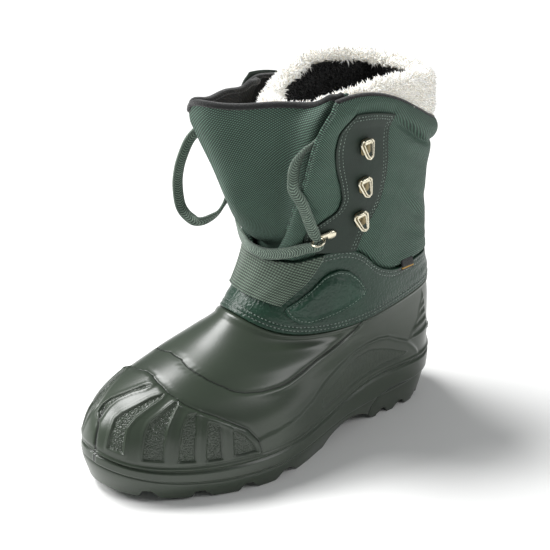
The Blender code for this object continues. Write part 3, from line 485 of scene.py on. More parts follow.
cap = -field(over_middle(CAP, 0.5))
vamp = field(over_middle(VAMP, 0.5))
swoosh, matte = field(SWOOSH, True), field(MATTE, True)
heel_block, ribs = (field(over_middle(half, 0.0), False, round_back)
                    for half in (HEEL_BLOCK, RIB_FIELD))
strips = np.minimum.reduce([field(corners, corners is not STRIPS[0]) for corners in STRIPS])
bead = smooth_column(BEAD, side, 0.008)
parting = (place - np.interp(level, *np.array(PARTING).T)) * TOE_MM
parting = np.where((level > 1.02) & (level < 3.6), parting, FAR)
above = step_up(level, bead + 0.05, bead + 0.25)
over_lugs = step_up(level, 0.98, 1.12)
out = (
    1.3 * over_lugs * (1 - step_up(level, bead - 0.28, bead - 0.16))
    + 0.35 * over_lugs * (1 - above)
    + 1.5 * bump_at(level, bead, 0.085)
    - 0.7 * bump_at(level, bead - 0.19, 0.05)
    - 0.9 * bump_at(level, 0.97, 0.035) * step_up(side, 0.20, 0.22)
    - 0.7 * bump_at(heel_block, 0.0, 1.3)
    + 1.4 * step_up(cap, -1.5, 1.7) * above
    + 0.7 * bump_at(cap, 2.2, 1.5) * (1 - step_up(side, 0.38, 0.44)) * above
    - 0.45 * bump_at(cap, -1.6, 1.4) * above
    - 0.6 * bump_at(vamp, 0.0, 1.5)
    + 0.5 * bump_at(vamp, 2.4, 1.5) * (1 - step_up(side, 0.29, 0.33))
    + 0.9 * step_up(-swoosh, -1.0, 2.0) * above + 0.9 * bump_at(swoosh, -0.4, 1.1) * above
    - 0.3 * step_up(-matte, -0.5, 0.5) + 0.35 * bump_at(matte, 0.2, 0.6)
    - 0.9 * step_up(-strips, -1.2, 1.3) + 0.6 * bump_at(strips, 1.2, 1.3)
    - 0.9 * bump_at(parting, 0.0, 1.3)
    - 1.3 * step_up(place, 0.487, 0.492) * (1 - step_up(place, 0.55, 0.6))
    * step_up(level, 1.0, 1.1) * (1 - step_up(level, bead, bead + 0.2))
    + 0.8 * step_up(-ribs, -0.4, 0.8)
    + 0.9 * step_up(level, 6.80, 6.86) * (1 - step_up(level, 6.94, 6.99))
)
RIB_PITCH = 7.5                 # mm between the slanted ribs of the heel's counter
rib_wave = np.sin((outside[..., 2] + 0.55 * np.abs(outside[..., 0])) * 2 * math.pi / RIB_PITCH)
out = out + 0.7 * rib_wave * step_up(-ribs, 0.5, 2.5)
wall = outside + normal(level, place) * out[..., None]
wall[0, :, 2] = edge_height
spine_y = np.clip(edge[:, 1], *SPINE_ENDS)
spine = np.column_stack((5.0 * step_up(-spine_y, 60, 200), spine_y, np.zeros_like(spine_y)))
share = np.linspace(1, 0, SOLE_ROWS + 1)[:-1, None, None]
below = edge + (spine - edge) * share
below[..., 2] = np.maximum(below[..., 2], tread_height(below[..., 0], below[..., 1]))
cross_groove = CROSS_DEEP * bump_at((below[..., 1] / CROSS_PITCH) % 1, 0.5, 0.12)
below[..., 2] += cross_groove * (below[..., 2] < 0.5) * step_up(share[..., 0], 0.05, 0.2)
INSIDE = (                      # level, mm outside the last: rim, lining, inner floor
    (6.995, TUCK), (7.20, TUCK), (7.44, TUCK), (7.45, TUCK - 0.5), (7.45, -5.5), (7.44, -6),
    (6.60, -6), (5.80, -6), (4.80, -6), (3.60, -6), (2.40, -6.5), (1.70, -8),
    (FLOOR_LEVEL, -10.5),
)
lining = np.array([skin(height, around, reach) for height, reach in INSIDE])
middle = lining[-1].copy()
middle[:, 0] = spine[:, 0]
middle[:, 1] = np.clip(middle[:, 1], *LINING_ENDS)
grid = np.concatenate((below, wall, lining, middle[None]))


def whole(values, rest=FAR):
    """The outer wall's field, with a far value on the underside and the lining."""
    padded = np.full(grid.shape[:2], rest)
    padded[len(below):len(below) + len(wall)] = values
    return padded


def crease(tree, distance, centre, width, height):
    """height * exp(-((d - centre) / width) ** 2) of a distance in mm."""
    shifted = add(tree, "Math", {0: distance, 1: centre}, operation="SUBTRACT")
    scaled = add(tree, "Math", {0: shifted, 1: 1 / width}, operation="MULTIPLY")
    square = add(tree, "Math", {0: scaled, 1: scaled}, operation="MULTIPLY")
    power = add(tree, "Math", {0: square, 1: -1.0}, operation="MULTIPLY")
    fall = add(tree, "Math", {0: math.e, 1: power}, operation="POWER")
    return add(tree, "Math", {0: fall, 1: height}, operation="MULTIPLY")


def total(tree, *parts):
    """The sum of several values, where a tuple stands for the product of its members."""
    result = None
    for part in parts:
        value, *factors = part if isinstance(part, tuple) else (part,)
        for factor in factors:
            value = add(tree, "Math", {0: value, 1: factor}, operation="MULTIPLY")
        result = value if result is None else add(tree, "Math", {0: result, 1: value},
                                                  operation="ADD")
    return result


# Foam rubber, injection moulded: satin with broad soft highlights, a faint skin from the
# mould, and coarse pebbles, 1.2 mm apart, where the mould was etched. Shade is painted into
# the colour along the vamp line, the cap's edge, the parting line and the heel block's edge.
rubber, tree, shader = new_finish("moulded_foam_rubber", Roughness=0.38, IOR=1.48,
                                  Coat_Weight=0.16, Coat_Roughness=0.26)
place_on = add(tree, "TexCoord").outputs["Object"]
pebbled = add(tree, "MapRange", {"Value": "strips", "From Min": -0.2, "From Max": -0.9})
satin = add(tree, "MapRange", {"Value": "matte", "From Max": -0.8})
pebbles = add(tree, "TexVoronoi", {"Vector": place_on, "Scale": 850.0}, feature="SMOOTH_F1")
mould, broad = (add(tree, "TexNoise", {"Vector": place_on, "Scale": scale, "Detail": detail})
                for scale, detail in ((420.0, 3.0), (26.0, 2.0)))
height = total(
    tree, (pebbled, -1.5, pebbles), (mould, 0.05), (satin, 0.35, mould), (broad, 0.25),
    crease(tree, "vamp", 0.0, 0.5, -0.7), crease(tree, "cap", -0.7, 0.45, -0.6),
    crease(tree, "heel_block", 0.0, 0.5, -0.6), crease(tree, "strips", 0.6, 0.5, 0.45),
    crease(tree, "matte", 0.2, 0.45, 0.35))
# painted shade: the colour darkens in the grooves along the vamp line, the cap's edge, the
# parting line and the heel block's edge
painted_groove_shade = total(tree, crease(tree, "vamp", 0.0, 0.6, 0.75), crease(tree, "cap", -0.7, 0.5, 0.6),
             crease(tree, "parting", 0.0, 1.1, 1.0), crease(tree, "heel_block", 0.0, 0.6, 0.6))
dress(tree, shader, "2E362D", [(broad, "3B4538"), (painted_groove_shade, "080B0A")], height, 0.0008)
rough = add(tree, "MapRange", {"Value": satin, "To Min": 0.32, "To Max": 0.48})
tree.links.new(rough.outputs[0], shader.inputs["Roughness"])
make_piece("foam_rubber_galosh", grid, quads(closed_below(numbered(len(grid), GALOSH_COLUMNS))),
           rubber, "galosh_and_sole", "moulded_rubber", strips=whole(strips),
           matte=whole(matte), vamp=whole(vamp), heel_block=whole(heel_block),
           parting=whole(parting), cap=whole(np.where(above > 0.5, cap, -FAR), -FAR))


# ================================================================ leather band
# A closed strip of coated split leather, 2.2 mm thick with a pebbled grain, that covers the
# galosh's rim. Two rows of heavy thread hold it to the rubber, two more to the quarters.
BAND_TOP = (
    (0.00, 8.35), (0.16, 8.30), (0.22, 8.22), (0.255, 8.42),
    (0.29, 8.95), (0.32, 9.08), (0.36, 8.96), (0.41, 8.72), (0.50, 8.60),
)


def run_along(points):
    """Way along a path, or up each of a grid's columns, in mm."""
    steps = np.linalg.norm(np.diff(points, axis=0), axis=-1)
    return np.concatenate((np.zeros_like(steps[:1]), np.cumsum(steps, 0)))


def from_ends(run):
    """Way to the nearer end of a run."""
    return np.minimum(run, run[-1] - run)


def quarter_round(x):
    """sqrt(1 - (1 - x) ** 2), a quarter circle from 0 to 1, with x held to 0..1."""
    return np.sqrt(1 - (1 - np.clip(x, 0, 1)) ** 2)


def hem(grid, radius, round_columns=False):
    """1 inside and 0 on the border, along a quarter circle over `radius` mm."""
    nearest = from_ends(run_along(grid))
    if not round_columns:
        nearest = np.minimum(nearest, from_ends(run_along(grid.transpose(1, 0, 2))).T)
    return quarter_round(nearest / radius)


def toward_edges(count, fine):
    """Shares from 0 to 1 that gather at both ends: x - fine sin(2 pi x) / (2 pi)."""
    x = np.linspace(0, 1, count)
    return x - fine * np.sin(2 * math.pi * x) / (2 * math.pi)


def mm_along(grid):
    """Run of each point along its row, and up its column, in mm."""
    across = np.linalg.norm(np.diff(grid, axis=1), axis=-1).mean(0)
    rise = run_along(grid)
    return np.broadcast_to(np.append(0, np.cumsum(across)), rise.shape), rise


def over(grid, away, out_mm):
    """Points out_mm outside a grid, along its normals."""
    return grid + away * np.asarray(out_mm)[..., None]


def make_shell(name, middle, away, core, half, finish, round_columns=False, uv=None,
               **settings):
    """A sheet whose two faces lie at core + half and core - half outside a grid and share
    their border's points. Its pattern runs along and up the grid, unless uv is given."""
    rows, columns = middle.shape[:2]
    outer = numbered(rows, columns)
    inner = outer + rows * columns
    inner[[0, -1]] = outer[[0, -1]]
    if not round_columns:
        inner[:, [0, -1]] = outer[:, [0, -1]]
    faces = np.concatenate((quads(outer, round_columns), quads(inner, round_columns)[:, ::-1]))
    uv = np.stack(mm_along(middle), -1) if uv is None else uv
    corner = quads(numbered(*uv.shape[:2]), False)
    uv = uv.reshape(-1, 2)[np.concatenate((corner, corner[:, ::-1])).ravel()]
    points = np.concatenate((over(middle, away, core + half), over(middle, away, core - half)))
    settings = {key: np.tile(value.ravel(), 2) if isinstance(value, np.ndarray) else value
                for key, value in settings.items()}
    settings["inner_side"] = np.repeat((0.0, 1.0), rows * columns)
    return make_piece(name, points, faces, finish, uv=uv, **settings)


def between(at, known, values):
    """Rows of values at places between the known ones."""
    return np.column_stack([np.interp(at, known, column)
                            for column in np.asarray(values, float).T])


def evenly(path, spacing):
    """Points `spacing` mm apart along a path, with its directions and its run there."""
    run = run_along(path)
    count = max(int(run[-1] / spacing), 2)
    at = (np.arange(count) + 0.5) * run[-1] / count
    return between(at, run, path), unit(between(at + 0.4, run, path)
                                        - between(at - 0.4, run, path)), at


def square_to(heading, way):
    """The part of `way` that is square to unit vectors, at length 1."""
    return unit(way - heading * (way * heading).sum(-1, keepdims=True))


def circle(count):
    """Points of a circle of radius 1."""
    turn = np.arange(count) * 2 * math.pi / count
    return np.column_stack((np.cos(turn), np.sin(turn)))


def copied(faces, size, count):
    """Faces of `count` copies of a shape of `size` points."""
    return (faces + size * np.arange(count)[:, None, None]).reshape(-1, faces.shape[1])


STITCH_RINGS = ((-1.0, 0.0), (-0.82, 0.62), (-0.35, 1.0), (0.35, 1.0), (0.82, 0.62), (1.0, 0.0))


def sew(name, rows, finish, length=2.3, thick=0.42, spacing=3.0, sunk=0.12, **settings):
    """Rows of stitches as one mesh. Each stitch is a bead of 6 rings of 6 points: x along
    the row, and a circle in y and z flattened to 0.75 of its height, sunk at its ends."""
    x, r = np.repeat(STITCH_RINGS, 6, 0).T
    y, z = (np.tile(circle(6), (6, 1)) * r[:, None] * thick).T
    template = np.column_stack((x * length / 2, y, z * 0.75 - sunk - 0.25 * x ** 2))
    batches = []
    for path, away in rows:
        spots, heading, at = evenly(path, spacing)
        out_way = square_to(heading, between(at, run_along(path), away))
        ways = np.stack((heading, np.cross(out_way, heading), out_way), 1)
        batches.append(spots[:, None] + template @ ways)
    points = np.concatenate(batches)
    bead_faces = quads(numbered(6, 6, (0, -1)))[:, ::-1]
    return make_piece(name, points, copied(bead_faces, 36, len(points)), finish, **settings)


def band_top_at(side):
    """Level of the band's top edge."""
    return smooth_column(BAND_TOP, side, 0.012)


BAND_ROWS, BAND_COLUMNS, LINE_STEP = 46, 480, 4
BAND_RUN = 640.0                # mm round the band, for its pattern
STITCH_FEET = (3.2, 6.4)        # mm of the two rows over the band's lower edge
STITCH_TOPS = (2.6, 5.6)        # mm of the two rows under its top edge
around = np.arange(BAND_COLUMNS) / BAND_COLUMNS
share = toward_edges(BAND_ROWS, 0.82)[:, None]
level = BAND_FOOT + (band_top_at(folded(around)) - BAND_FOOT) * share
place = np.broadcast_to(around, level.shape)
ground = form(level, place)
faces_out = normal(level, place)
above_foot = run_along(ground)
below_top = above_foot[-1] - above_foot
trench = (sum(bump_at(above_foot, foot, 0.9) for foot in STITCH_FEET)
          + sum(bump_at(below_top, top, 0.9) for top in STITCH_TOPS))
swell = 0.5 * bump_at(above_foot, 11, 4) + 0.4 * bump_at(above_foot, 4.8, 1.2)
drape = 0.35 * np.sin(place * 2 * math.pi * 7 + level * 3) * step_up(above_foot, 8, 16) \
    * step_up(below_top, 6, 12)
half = BAND_LEATHER / 2 * hem(ground, 1.1, True)
core = BAND_OUT - 0.35 * trench + swell + drape - BAND_LEATHER / 2
band_uv = np.stack((np.column_stack((place, np.ones(BAND_ROWS))) * BAND_RUN,
                    np.column_stack((above_foot, above_foot[:, 0]))), -1)
GRAIN_BEND = 0.0022             # m by which slow noise bends the grain


# Coated split leather: a pressed pebble grain, about 1.8 mm across and coarser than life so
# that it shows, satin, paler where it is rubbed, with painted shade along the stitched troughs.
def leather_finish(name, low, high, grain_scale, grain_depth, roughness, fields=(), coat=0.18):
    """Pebbled leather: rounded cells of the grain, finer pores, and a slow change of tone."""
    finish, tree, shader = new_finish(name, Roughness=roughness, IOR=1.46,
                                      Coat_Weight=coat, Coat_Roughness=0.40)
    place_on = add(tree, "TexCoord").outputs["Object"]
    bent, pores, broad, soft = (
        add(tree, "TexNoise", {"Vector": place_on, "Scale": scale, "Detail": detail})
        for scale, detail in ((240.0, 2.0), (1500.0, 2.0), (38.0, 3.0), (130.0, 2.0)))
    moved = add(tree, "VectorMath", {0: bent.outputs["Color"], 3: GRAIN_BEND},
                operation="SCALE")
    spot = add(tree, "VectorMath", {0: place_on, 1: moved}, operation="ADD")
    cells = add(tree, "TexVoronoi", {"Vector": spot, "Scale": grain_scale}, feature="SMOOTH_F1")
    # painted shade: the colour darkens to 0C1210 along each stitched trough named in `fields`
    painted_trough_shade = [(crease(tree, run, centre, 0.75, 0.55), "0C1210") for run, centre in fields]
    dress(tree, shader, low, [(broad, high), *painted_trough_shade],
          total(tree, (cells, -grain_depth), (pores, 0.10), (soft, 0.55)), 0.0006)
    return finish


band_leather = leather_finish(
    "coated_pebbled_leather", "0C281C", "163C2A", 560.0, 0.95, 0.40,
    [("above_foot", foot) for foot in STITCH_FEET] + [("below_top", top) for top in STITCH_TOPS])
make_shell("leather_band_strip", ground, faces_out, core, half, band_leather, True, band_uv,
           node="leather_band", slot="grained_leather",
           above_foot=above_foot, below_top=below_top)
band_face = over(ground, faces_out, core + half + 0.1)


def band_line(mm, from_top):
    """A line round the band, mm over its lower edge or under its top edge, with normals."""
    heights = below_top[::-1] if from_top else above_foot
    column = np.arange(0, BAND_COLUMNS, LINE_STEP)
    row = np.array([np.interp(mm, heights[:, c], np.arange(BAND_ROWS)) for c in column])
    row = BAND_ROWS - 1 - row if from_top else row
    low = np.floor(row).astype(int)
    part = (row - low)[:, None]
    path = band_face[low, column] * (1 - part) \
        + band_face[np.minimum(low + 1, BAND_ROWS - 1), column] * part
    return path, faces_out[low, column]


# Heavy bonded polyester thread, twisted, a little paler than the leather.
thread, tree, shader = new_finish("bonded_polyester_thread", Roughness=0.55,
                                  Sheen_Weight=0.3, Sheen_Roughness=0.4)
twist = add(tree, "TexWave", {"Vector": add(tree, "TexCoord").outputs["Object"],
                              "Scale": 900.0, "Distortion": 1.5})
dress(tree, shader, "3C4B42", [(twist, "98AC9F")], twist, 0.0003, 0.6)


def closed(line):
    """A line with its first point again at its end."""
    return tuple(np.vstack((part, part[:1])) for part in line)


def part_of(line, start, end):
    """The stretch of a line from one share to another."""
    first, last = int(start * len(line[0])), int(end * len(line[0])) + 1
    return tuple(part[first:last] for part in line)


rows = [closed(band_line(foot, False)) for foot in STITCH_FEET]
rows += [part_of(band_line(top, True), start, end)
         for top in STITCH_TOPS for start, end in ((0.03, 0.385), (0.615, 0.97))]
sew("band_stitches", rows, thread, slot="grained_leather")


# ================================================================ padded quarters
# Nylon twill over foam, one wall round the back from throat edge to throat edge: a soft roll
# before each facing, a long cushion behind it, a puffy cuff at the back, black binding on top.
SHAFT_WALL, SHAFT_PUFF, CUFF_PUFF, REST = 4.0, 0.8, 2.6, 0.55
CUFF_CREASE, CUFF_HEIGHT = 11.45, 0.62
AROUND_MM, LEVEL_MM = 330, 31   # mm on the shaft in one unit of around and of level
QUARTER_EDGE = (
    (7.40, 0.478), (8.60, 0.470), (9.08, 0.450), (9.80, 0.402),
    (10.65, 0.358), (11.25, 0.340), (11.70, 0.325), (12.00, 0.305),
)
# level, around at the facing's front edge, around at its rear edge
EYESTAY = (
    (9.00, 0.400, 0.302), (9.14, 0.398, 0.300), (9.50, 0.384, 0.284), (9.80, 0.342, 0.262),
    (9.97, 0.320, 0.250), (10.20, 0.309, 0.240), (10.50, 0.309, 0.232),
    (10.85, 0.312, 0.228), (11.15, 0.311, 0.228), (11.40, 0.306, 0.227),
    (11.58, 0.297, 0.225), (11.72, 0.280, 0.221),
)


def padding(level):
    """Stand-off of the shaft over the band, with the cuff's swell as a half sine."""
    return SHAFT_PUFF + CUFF_PUFF * np.sin(
        math.pi * np.clip((level - CUFF_CREASE) / CUFF_HEIGHT, 0, 1))


def throat_edge(level):
    """Share around at which the quarters end before the throat."""
    return smooth_column(QUARTER_EDGE, level, 0.12)


SHAFT_FOOT, SHAFT_TOP, SHAFT_COLUMNS = RIM_LEVEL + 0.02, 12.0, 281
UNDER_BAND = 0.12               # share of the rows that lie under the band's top
across = 2 * toward_edges(SHAFT_COLUMNS, 0.6) - 1
share = np.concatenate((np.linspace(0, UNDER_BAND, 6)[:-1],
                        UNDER_BAND + (1 - UNDER_BAND) * toward_edges(118, 0.7)))[:, None]
level = SHAFT_FOOT + (SHAFT_TOP - SHAFT_FOOT) * share + np.zeros(SHAFT_COLUMNS)
place = throat_edge(level) * across
for _ in range(8):              # the band's top and the throat's edge depend on each other
    top = band_top_at(np.abs(place))
    level = np.where(share < UNDER_BAND, SHAFT_FOOT + (top - SHAFT_FOOT) * share / UNDER_BAND,
                     top + (SHAFT_TOP - top) * (share - UNDER_BAND) / (1 - UNDER_BAND))
    place = throat_edge(level) * across
side = np.abs(place)
ground = form(level, place)
faces_out = normal(level, place)
SLUMP, CORNER_SLUMP = 15.0, 7.0         # mm by which the inner quarter's slack corner hangs
slack = step_up(level, 11.0, 12.0)
ground[..., 2] -= SLUMP * step_up(-place, 0.14, 0.26) * slack
ground[..., 2] -= CORNER_SLUMP * step_up(-place, 0.27, 0.31) * slack
over_band = level - band_top_at(side)
front, rear = (smooth_column(EYESTAY, level, 0.1, column) for column in (1, 2))
FACING_ENDS = 11.76
behind = (rear - side) * AROUND_MM      # mm behind the facing
ahead = (side - front) * AROUND_MM      # mm before the facing
roll_width = np.maximum((throat_edge(level) - front) * AROUND_MM, 4)
cushion = 2.6 * np.sqrt(np.clip(behind / 12, 0, 1)) * np.clip(over_band / 0.32, 0, 1) ** 0.5
cushion = cushion * (1 - 0.55 * step_up(side, 0.18, 0.0))
roll = 3.4 * np.sqrt(np.clip(np.sin(math.pi * np.clip(ahead / roll_width, 0, 1)), 0, 1))
above_facing = step_up(level, FACING_ENDS, FACING_ENDS + 0.16)
pad = np.where(ahead > 0, roll, np.where(behind > 0, cushion, 0))
pad = pad * (1 - above_facing) \
    + above_facing * 2.4 * np.clip((SHAFT_TOP - level) / 0.25, 0, 1) ** 0.5
cuff_crease = 1.5 * bump_at(level, CUFF_CREASE + 0.10 * np.cos(side * 14), 0.075) \
    * (1 - step_up(side, 0.16, 0.222))
FOLDS = (                       # side and level of both ends, width and depth in mm
    (0.222, 11.62, 0.150, 11.38, 2.6, 2.3), (0.215, 10.2, 0.135, 9.35, 4.0, 1.2),
    (0.205, 10.3, 0.120, 9.55, 4.5, -0.9), (0.225, 9.55, 0.160, 9.05, 3.5, 0.9),
    (0.200, 11.1, 0.100, 10.7, 5.0, 0.8), (0.120, 8.8, 0.020, 8.7, 3.0, 0.9),
    (0.10, 10.1, 0.00, 9.9, 4.0, 0.7), (0.335, 10.9, 0.318, 10.6, 3.0, 0.7),
    (0.365, 10.2, 0.345, 9.9, 3.5, 0.9),
)


def trough(side_a, level_a, side_b, level_b, width, depth):
    """A soft trough between two places on the quarters: depth exp(-(d / width) ** 2), where
    d is the distance to their line in mm, faded at its ends."""
    start = np.array((side_a * AROUND_MM, level_a * LEVEL_MM))
    run = np.array((side_b * AROUND_MM, level_b * LEVEL_MM)) - start
    x, y = side * AROUND_MM - start[0], level * LEVEL_MM - start[1]
    t = np.clip((x * run[0] + y * run[1]) / (run @ run), 0, 1)
    distance = np.hypot(x - t * run[0], y - t * run[1])
    return depth * bump_at(distance, 0, width) * (0.35 + 0.65 * np.sin(math.pi * t))


ripple = 0.35 * np.sin(level * 9 + place * 21) * np.sin(level * 4.3 - place * 33)
out = padding(level) + pad - cuff_crease - 1.9 * sum(trough(*row) for row in FOLDS) + ripple
out = TUCK + (out - TUCK) * step_up(over_band, -0.03, 0.14)
thickness = SHAFT_WALL + np.clip(out - padding(level), 0, 4) * 0.6
half = thickness / 2 * hem(ground, 2.4)
core = out - thickness / 2


def cloth_run(tree):
    """A piece's own run in mm, along its pattern and up it."""
    return add(tree, "SeparateXYZ", {0: add(tree, "UVMap", uv_map="run")}).outputs[:2]


def wave(tree, run, pitch):
    """sin(2 pi run / pitch)."""
    turned = add(tree, "Math", {0: run, 1: 2 * math.pi / pitch}, operation="MULTIPLY")
    return add(tree, "Math", {0: turned}, operation="SINE")


# Nylon twill over foam: diagonal ribs, broken by the crossing yarn so that pale dots stand on
# a dark ground, and a low sheen. The ribs are 0.5 mm apart in the real cloth and drawn 2.1 mm
# apart, so that they show.
RIB = 2.1
twill, tree, shader = new_finish("padded_nylon_twill", Roughness=0.64, Sheen_Weight=0.05,
                                 Sheen_Roughness=0.40, Sheen_Tint=linear("A9BDB3"))
u, v = cloth_run(tree)
slant, cross = (add(tree, "Math", {0: v, 1: lean, 2: u}, operation="MULTIPLY_ADD")
                for lean in (1.0, -1.0))
weave = total(tree, wave(tree, slant, RIB), (wave(tree, cross, 0.8 * RIB), 0.75))
place_on = add(tree, "TexCoord").outputs["Object"]
broad, pucker = (add(tree, "TexNoise", {"Vector": place_on, "Scale": scale, "Detail": detail})
                 for scale, detail in ((30.0, 3.0), (160.0, 2.0)))
lift = add(tree, "MapRange", {"Value": weave, "From Min": -1.5, "From Max": 1.5})
dots = add(tree, "Math", {0: lift, 1: 3.2}, operation="POWER")
dress(tree, shader, "020906",
      [(total(tree, (dots, 0.9), (broad, 0.10)), "6C957F"), ("inner_side", "0A0B0B")],
      total(tree, (lift, 0.55), (pucker, 0.9)), 0.0006)
quarters = make_shell("padded_quarters", ground, faces_out, core, half, twill,
                      node="shaft", slot="padded_fabric")
quarter_mid = over(ground, faces_out, core)


def sweep(path, ring, twist_to, closed_path=False):
    """A profile carried along a path: p + side x + away y, where away is twist_to less its
    part along the path and side is heading x away. Returns the points row by row."""
    heading = unit(np.roll(path, -1, 0) - np.roll(path, 1, 0) if closed_path
                   else np.gradient(path, axis=0))
    away = square_to(heading, np.asarray(twist_to, float))
    aside = np.cross(heading, away)
    return path[:, None] + aside[:, None] * ring[..., :1] + away[:, None] * ring[..., 1:]


def rounded(width, height, count=10, power=2.6):
    """A flattened round: (w/2 sgn(cos) |cos|^(2/p), h/2 sgn(sin) |sin|^(2/p))."""
    ring = circle(count)
    return np.sign(ring) * np.abs(ring) ** (2 / power) * (width / 2, height / 2)


def capped_tube(name, path, ring, twist_to, finish, taper=2.0, **settings):
    """A swept profile whose ends close in a rounded point over `taper` mm."""
    run = run_along(path)
    size = quarter_round(from_ends(run) / taper)
    points = sweep(path, ring * size[:, None, None], twist_to)
    rows, columns = points.shape[:2]
    uv = np.stack(np.broadcast_arrays(run[:, None], np.linspace(0, 1, columns + 1)), -1)
    corner = quads(numbered(rows, columns + 1), False)[:, ::-1]
    return make_piece(name, points, quads(numbered(rows, columns, (0, -1)))[:, ::-1], finish,
                      uv=uv.reshape(-1, 2)[corner.ravel()], **settings)


def mottled(name, low, high, scale, detail=3.0, distance=0.0, **constants):
    """A finish whose tone wanders from low to high over soft noise, embossed by it if asked.
    Returns it with its tree, its shader and the noise."""
    made, tree, shader = new_finish(name, **constants)
    noise = add(tree, "TexNoise", {"Vector": add(tree, "TexCoord").outputs["Object"],
                                   "Scale": scale, "Detail": detail})
    dress(tree, shader, low, [(noise, high)], noise if distance else None, distance)
    return made, tree, shader, noise


# Black brushed binding, a folded knit tape that shows 4 to 5 mm wide, matt with a short nap.
binding = mottled("black_brushed_binding", "050606", "121414", 900.0, distance=0.0008,
                  Roughness=0.9, Sheen_Weight=0.35, Sheen_Roughness=0.5)[0]
upward = np.array((0.0, 0.0, 1.0))
capped_tube("collar_binding", evenly(quarter_mid[-1], 1.5)[0] - upward * 0.5,
            rounded(4.6, 3.4), upward, binding, slot="padded_fabric")
PIPING_FROM, PIPING_WAY, SPINE_FROM = 44, 60, 8     # rows: first, outward way, first behind
for side_name, column in (("outer", -2), ("inner", 1)):
    capped_tube(f"edge_piping_{side_name}", evenly(quarter_mid[PIPING_FROM:, column], 1.2)[0],
                rounded(2.4, 2.4, 8), faces_out[PIPING_WAY, column], twill, slot="padded_fabric")
back = int(np.argmin(np.abs(across)))
spine_line = over(ground, faces_out, out)[SPINE_FROM:-1, back] + (0, 0.15, 0)
capped_tube("back_piping", evenly(spine_line, 1.2)[0], rounded(2.6, 2.2, 8),
            (0, 1.0, 0), binding, slot="padded_fabric")


# ================================================================ bellows tongue
# One wide sheet of the same twill over thin foam, sewn in behind both quarters and folded
# forward on the inner side of the shin. Its top edge is bound in black.
THROAT_FOOT, FLAP, FOLD_PULL, TONGUE_WALL = 9.08, 0.032, 0.08, 3.0
INNER_DROP, POCKET = 0.35, 5.6
FOLD = (                        # level, x, y, z of the fold
    (9.08, 3, -114, 159), (9.30, -11, -119, 168), (9.55, -16, -124, 178),
    (10.10, -15, -133, 200), (10.65, -18, -139, 221), (11.15, -26, -143, 240),
    (11.60, -33, -145, 255), (12.00, -36, -144, 267),
)


# ridges of the slack panel and dips of its rim: share across, breadth, height in mm
PANEL_RIDGES = ((0.400, 0.062, 10.0), (0.255, 0.045, -3.5))
RIM_DIPS = ((0.5, 0.028, -5.0), (0.34, 0.07, -2.5))


def tongue_section(level):
    """Control points across the tongue at one level: flap, hem, panel, fold and back."""
    edge = float(np.interp(level, *np.array(QUARTER_EDGE).T))
    behind = SHAFT_WALL + 1.2
    if level < THROAT_FOOT:
        return skin(level, np.linspace(edge - FLAP, 1 - edge + FLAP, 9), TUCK - behind)
    fold_table = np.array(FOLD)
    fold = between(level, fold_table[:, 0], fold_table[:, 1:])[0]
    pocket = POCKET * np.clip((level - 10.2) / 0.8, 0, 1)
    inner_level = level - INNER_DROP * np.clip(level - 11.0, 0, 1)
    (flap_a, inner_a, hem_a), (flap_b, inner_b, hem_b) = (
        [skin(high, at + turn * FLAP * share, SHAFT_PUFF - behind - sunk)
         for share, sunk in ((1, 0.6 * depth), (0.5, depth), (0, 0.4 + depth))]
        for high, at, turn, depth in ((level, edge, -1, pocket), (inner_level, 1 - edge, 1, 0)))
    fold = fold + (fold - (hem_a + hem_b) / 2) * FOLD_PULL
    return np.array((flap_a, inner_a, hem_a, (hem_a + fold) / 2, fold, fold,
                     (hem_b + fold) / 2, hem_b, inner_b, flap_b))


def four_around(points, count):
    """For `count` places along control points, whose ends run straight on: the way t from
    one point to the next, and the four points around each place."""
    points = np.asarray(points, float)
    ends = np.vstack((2 * points[0] - points[1], points, 2 * points[-1] - points[-2]))
    at = np.linspace(0, len(points) - 1, count)
    first = np.minimum(at.astype(int), len(points) - 2)
    return (at - first)[:, None], [ends[first + k] for k in range(4)]


def b_spline(points, count):
    """Points of a cubic B-spline that starts and ends on its control points."""
    t, four = four_around(points, count)
    return sum(weight * point for weight, point in zip(spline_weights(t), four)) / 6


tongue_levels = np.concatenate((np.linspace(8.35, 9.04, 9), np.linspace(9.10, 11.95, 80)))
sheet = np.array([b_spline(tongue_section(high), 150) for high in tongue_levels])
for _ in range(10):             # soften the rows' corners, up the sheet
    sheet[1:-1] = (sheet[:-2] + 2 * sheet[1:-1] + sheet[2:]) / 4
crossed = np.cross(np.gradient(sheet, axis=0), np.gradient(sheet, axis=1))
faces_out = crossed / np.maximum(np.linalg.norm(crossed, axis=-1, keepdims=True), 1e-9)
u = np.linspace(0, 1, sheet.shape[1])[None, :]
v = ((tongue_levels - 9.0) / 3)[:, None]
sheet_wave = step_up(v, 0.02, 0.4) * (
    1.8 * np.sin(u * 2 * math.pi * 1.6 + 0.6 + v * 2.2) * step_up(u, 0.12, 0.3)
    * (1 - step_up(u, 0.75, 0.9))
    + sum(tall * bump_at(u, at, broad) for at, broad, tall in PANEL_RIDGES)
    + 0.8 * np.sin(v * 9 + u * 12) * bump_at(u, 0.36, 0.14))
rim_wave = step_up(v, 0.82, 1.0) * 1.6 * np.sin(u * 2 * math.pi * 3.1 + 0.4)
sheet = sheet + faces_out * (sheet_wave + rim_wave)[..., None]
sheet[..., 2] += step_up(v, 0.80, 1.0) * (
    1.2 * np.sin(u * 2 * math.pi * 2.3 + 1.1) + 0.9 * np.sin(u * 47)
    + sum(tall * bump_at(u, at, broad) for at, broad, tall in RIM_DIPS))
tongue = make_shell("bellows_tongue", sheet, faces_out, -TONGUE_WALL / 2,
                    TONGUE_WALL / 2 * hem(sheet, 1.6), twill, node="tongue",
                    slot="padded_fabric")
FLAP_COLUMNS = 6                # the binding stops short of both flaps
rim_path = over(sheet, faces_out, -TONGUE_WALL / 2)[-1, FLAP_COLUMNS:-FLAP_COLUMNS]
capped_tube("tongue_binding", evenly(rim_path, 1.5)[0] + upward * 0.2,
            rounded(5.6, 4.6), upward, binding, slot="padded_fabric")


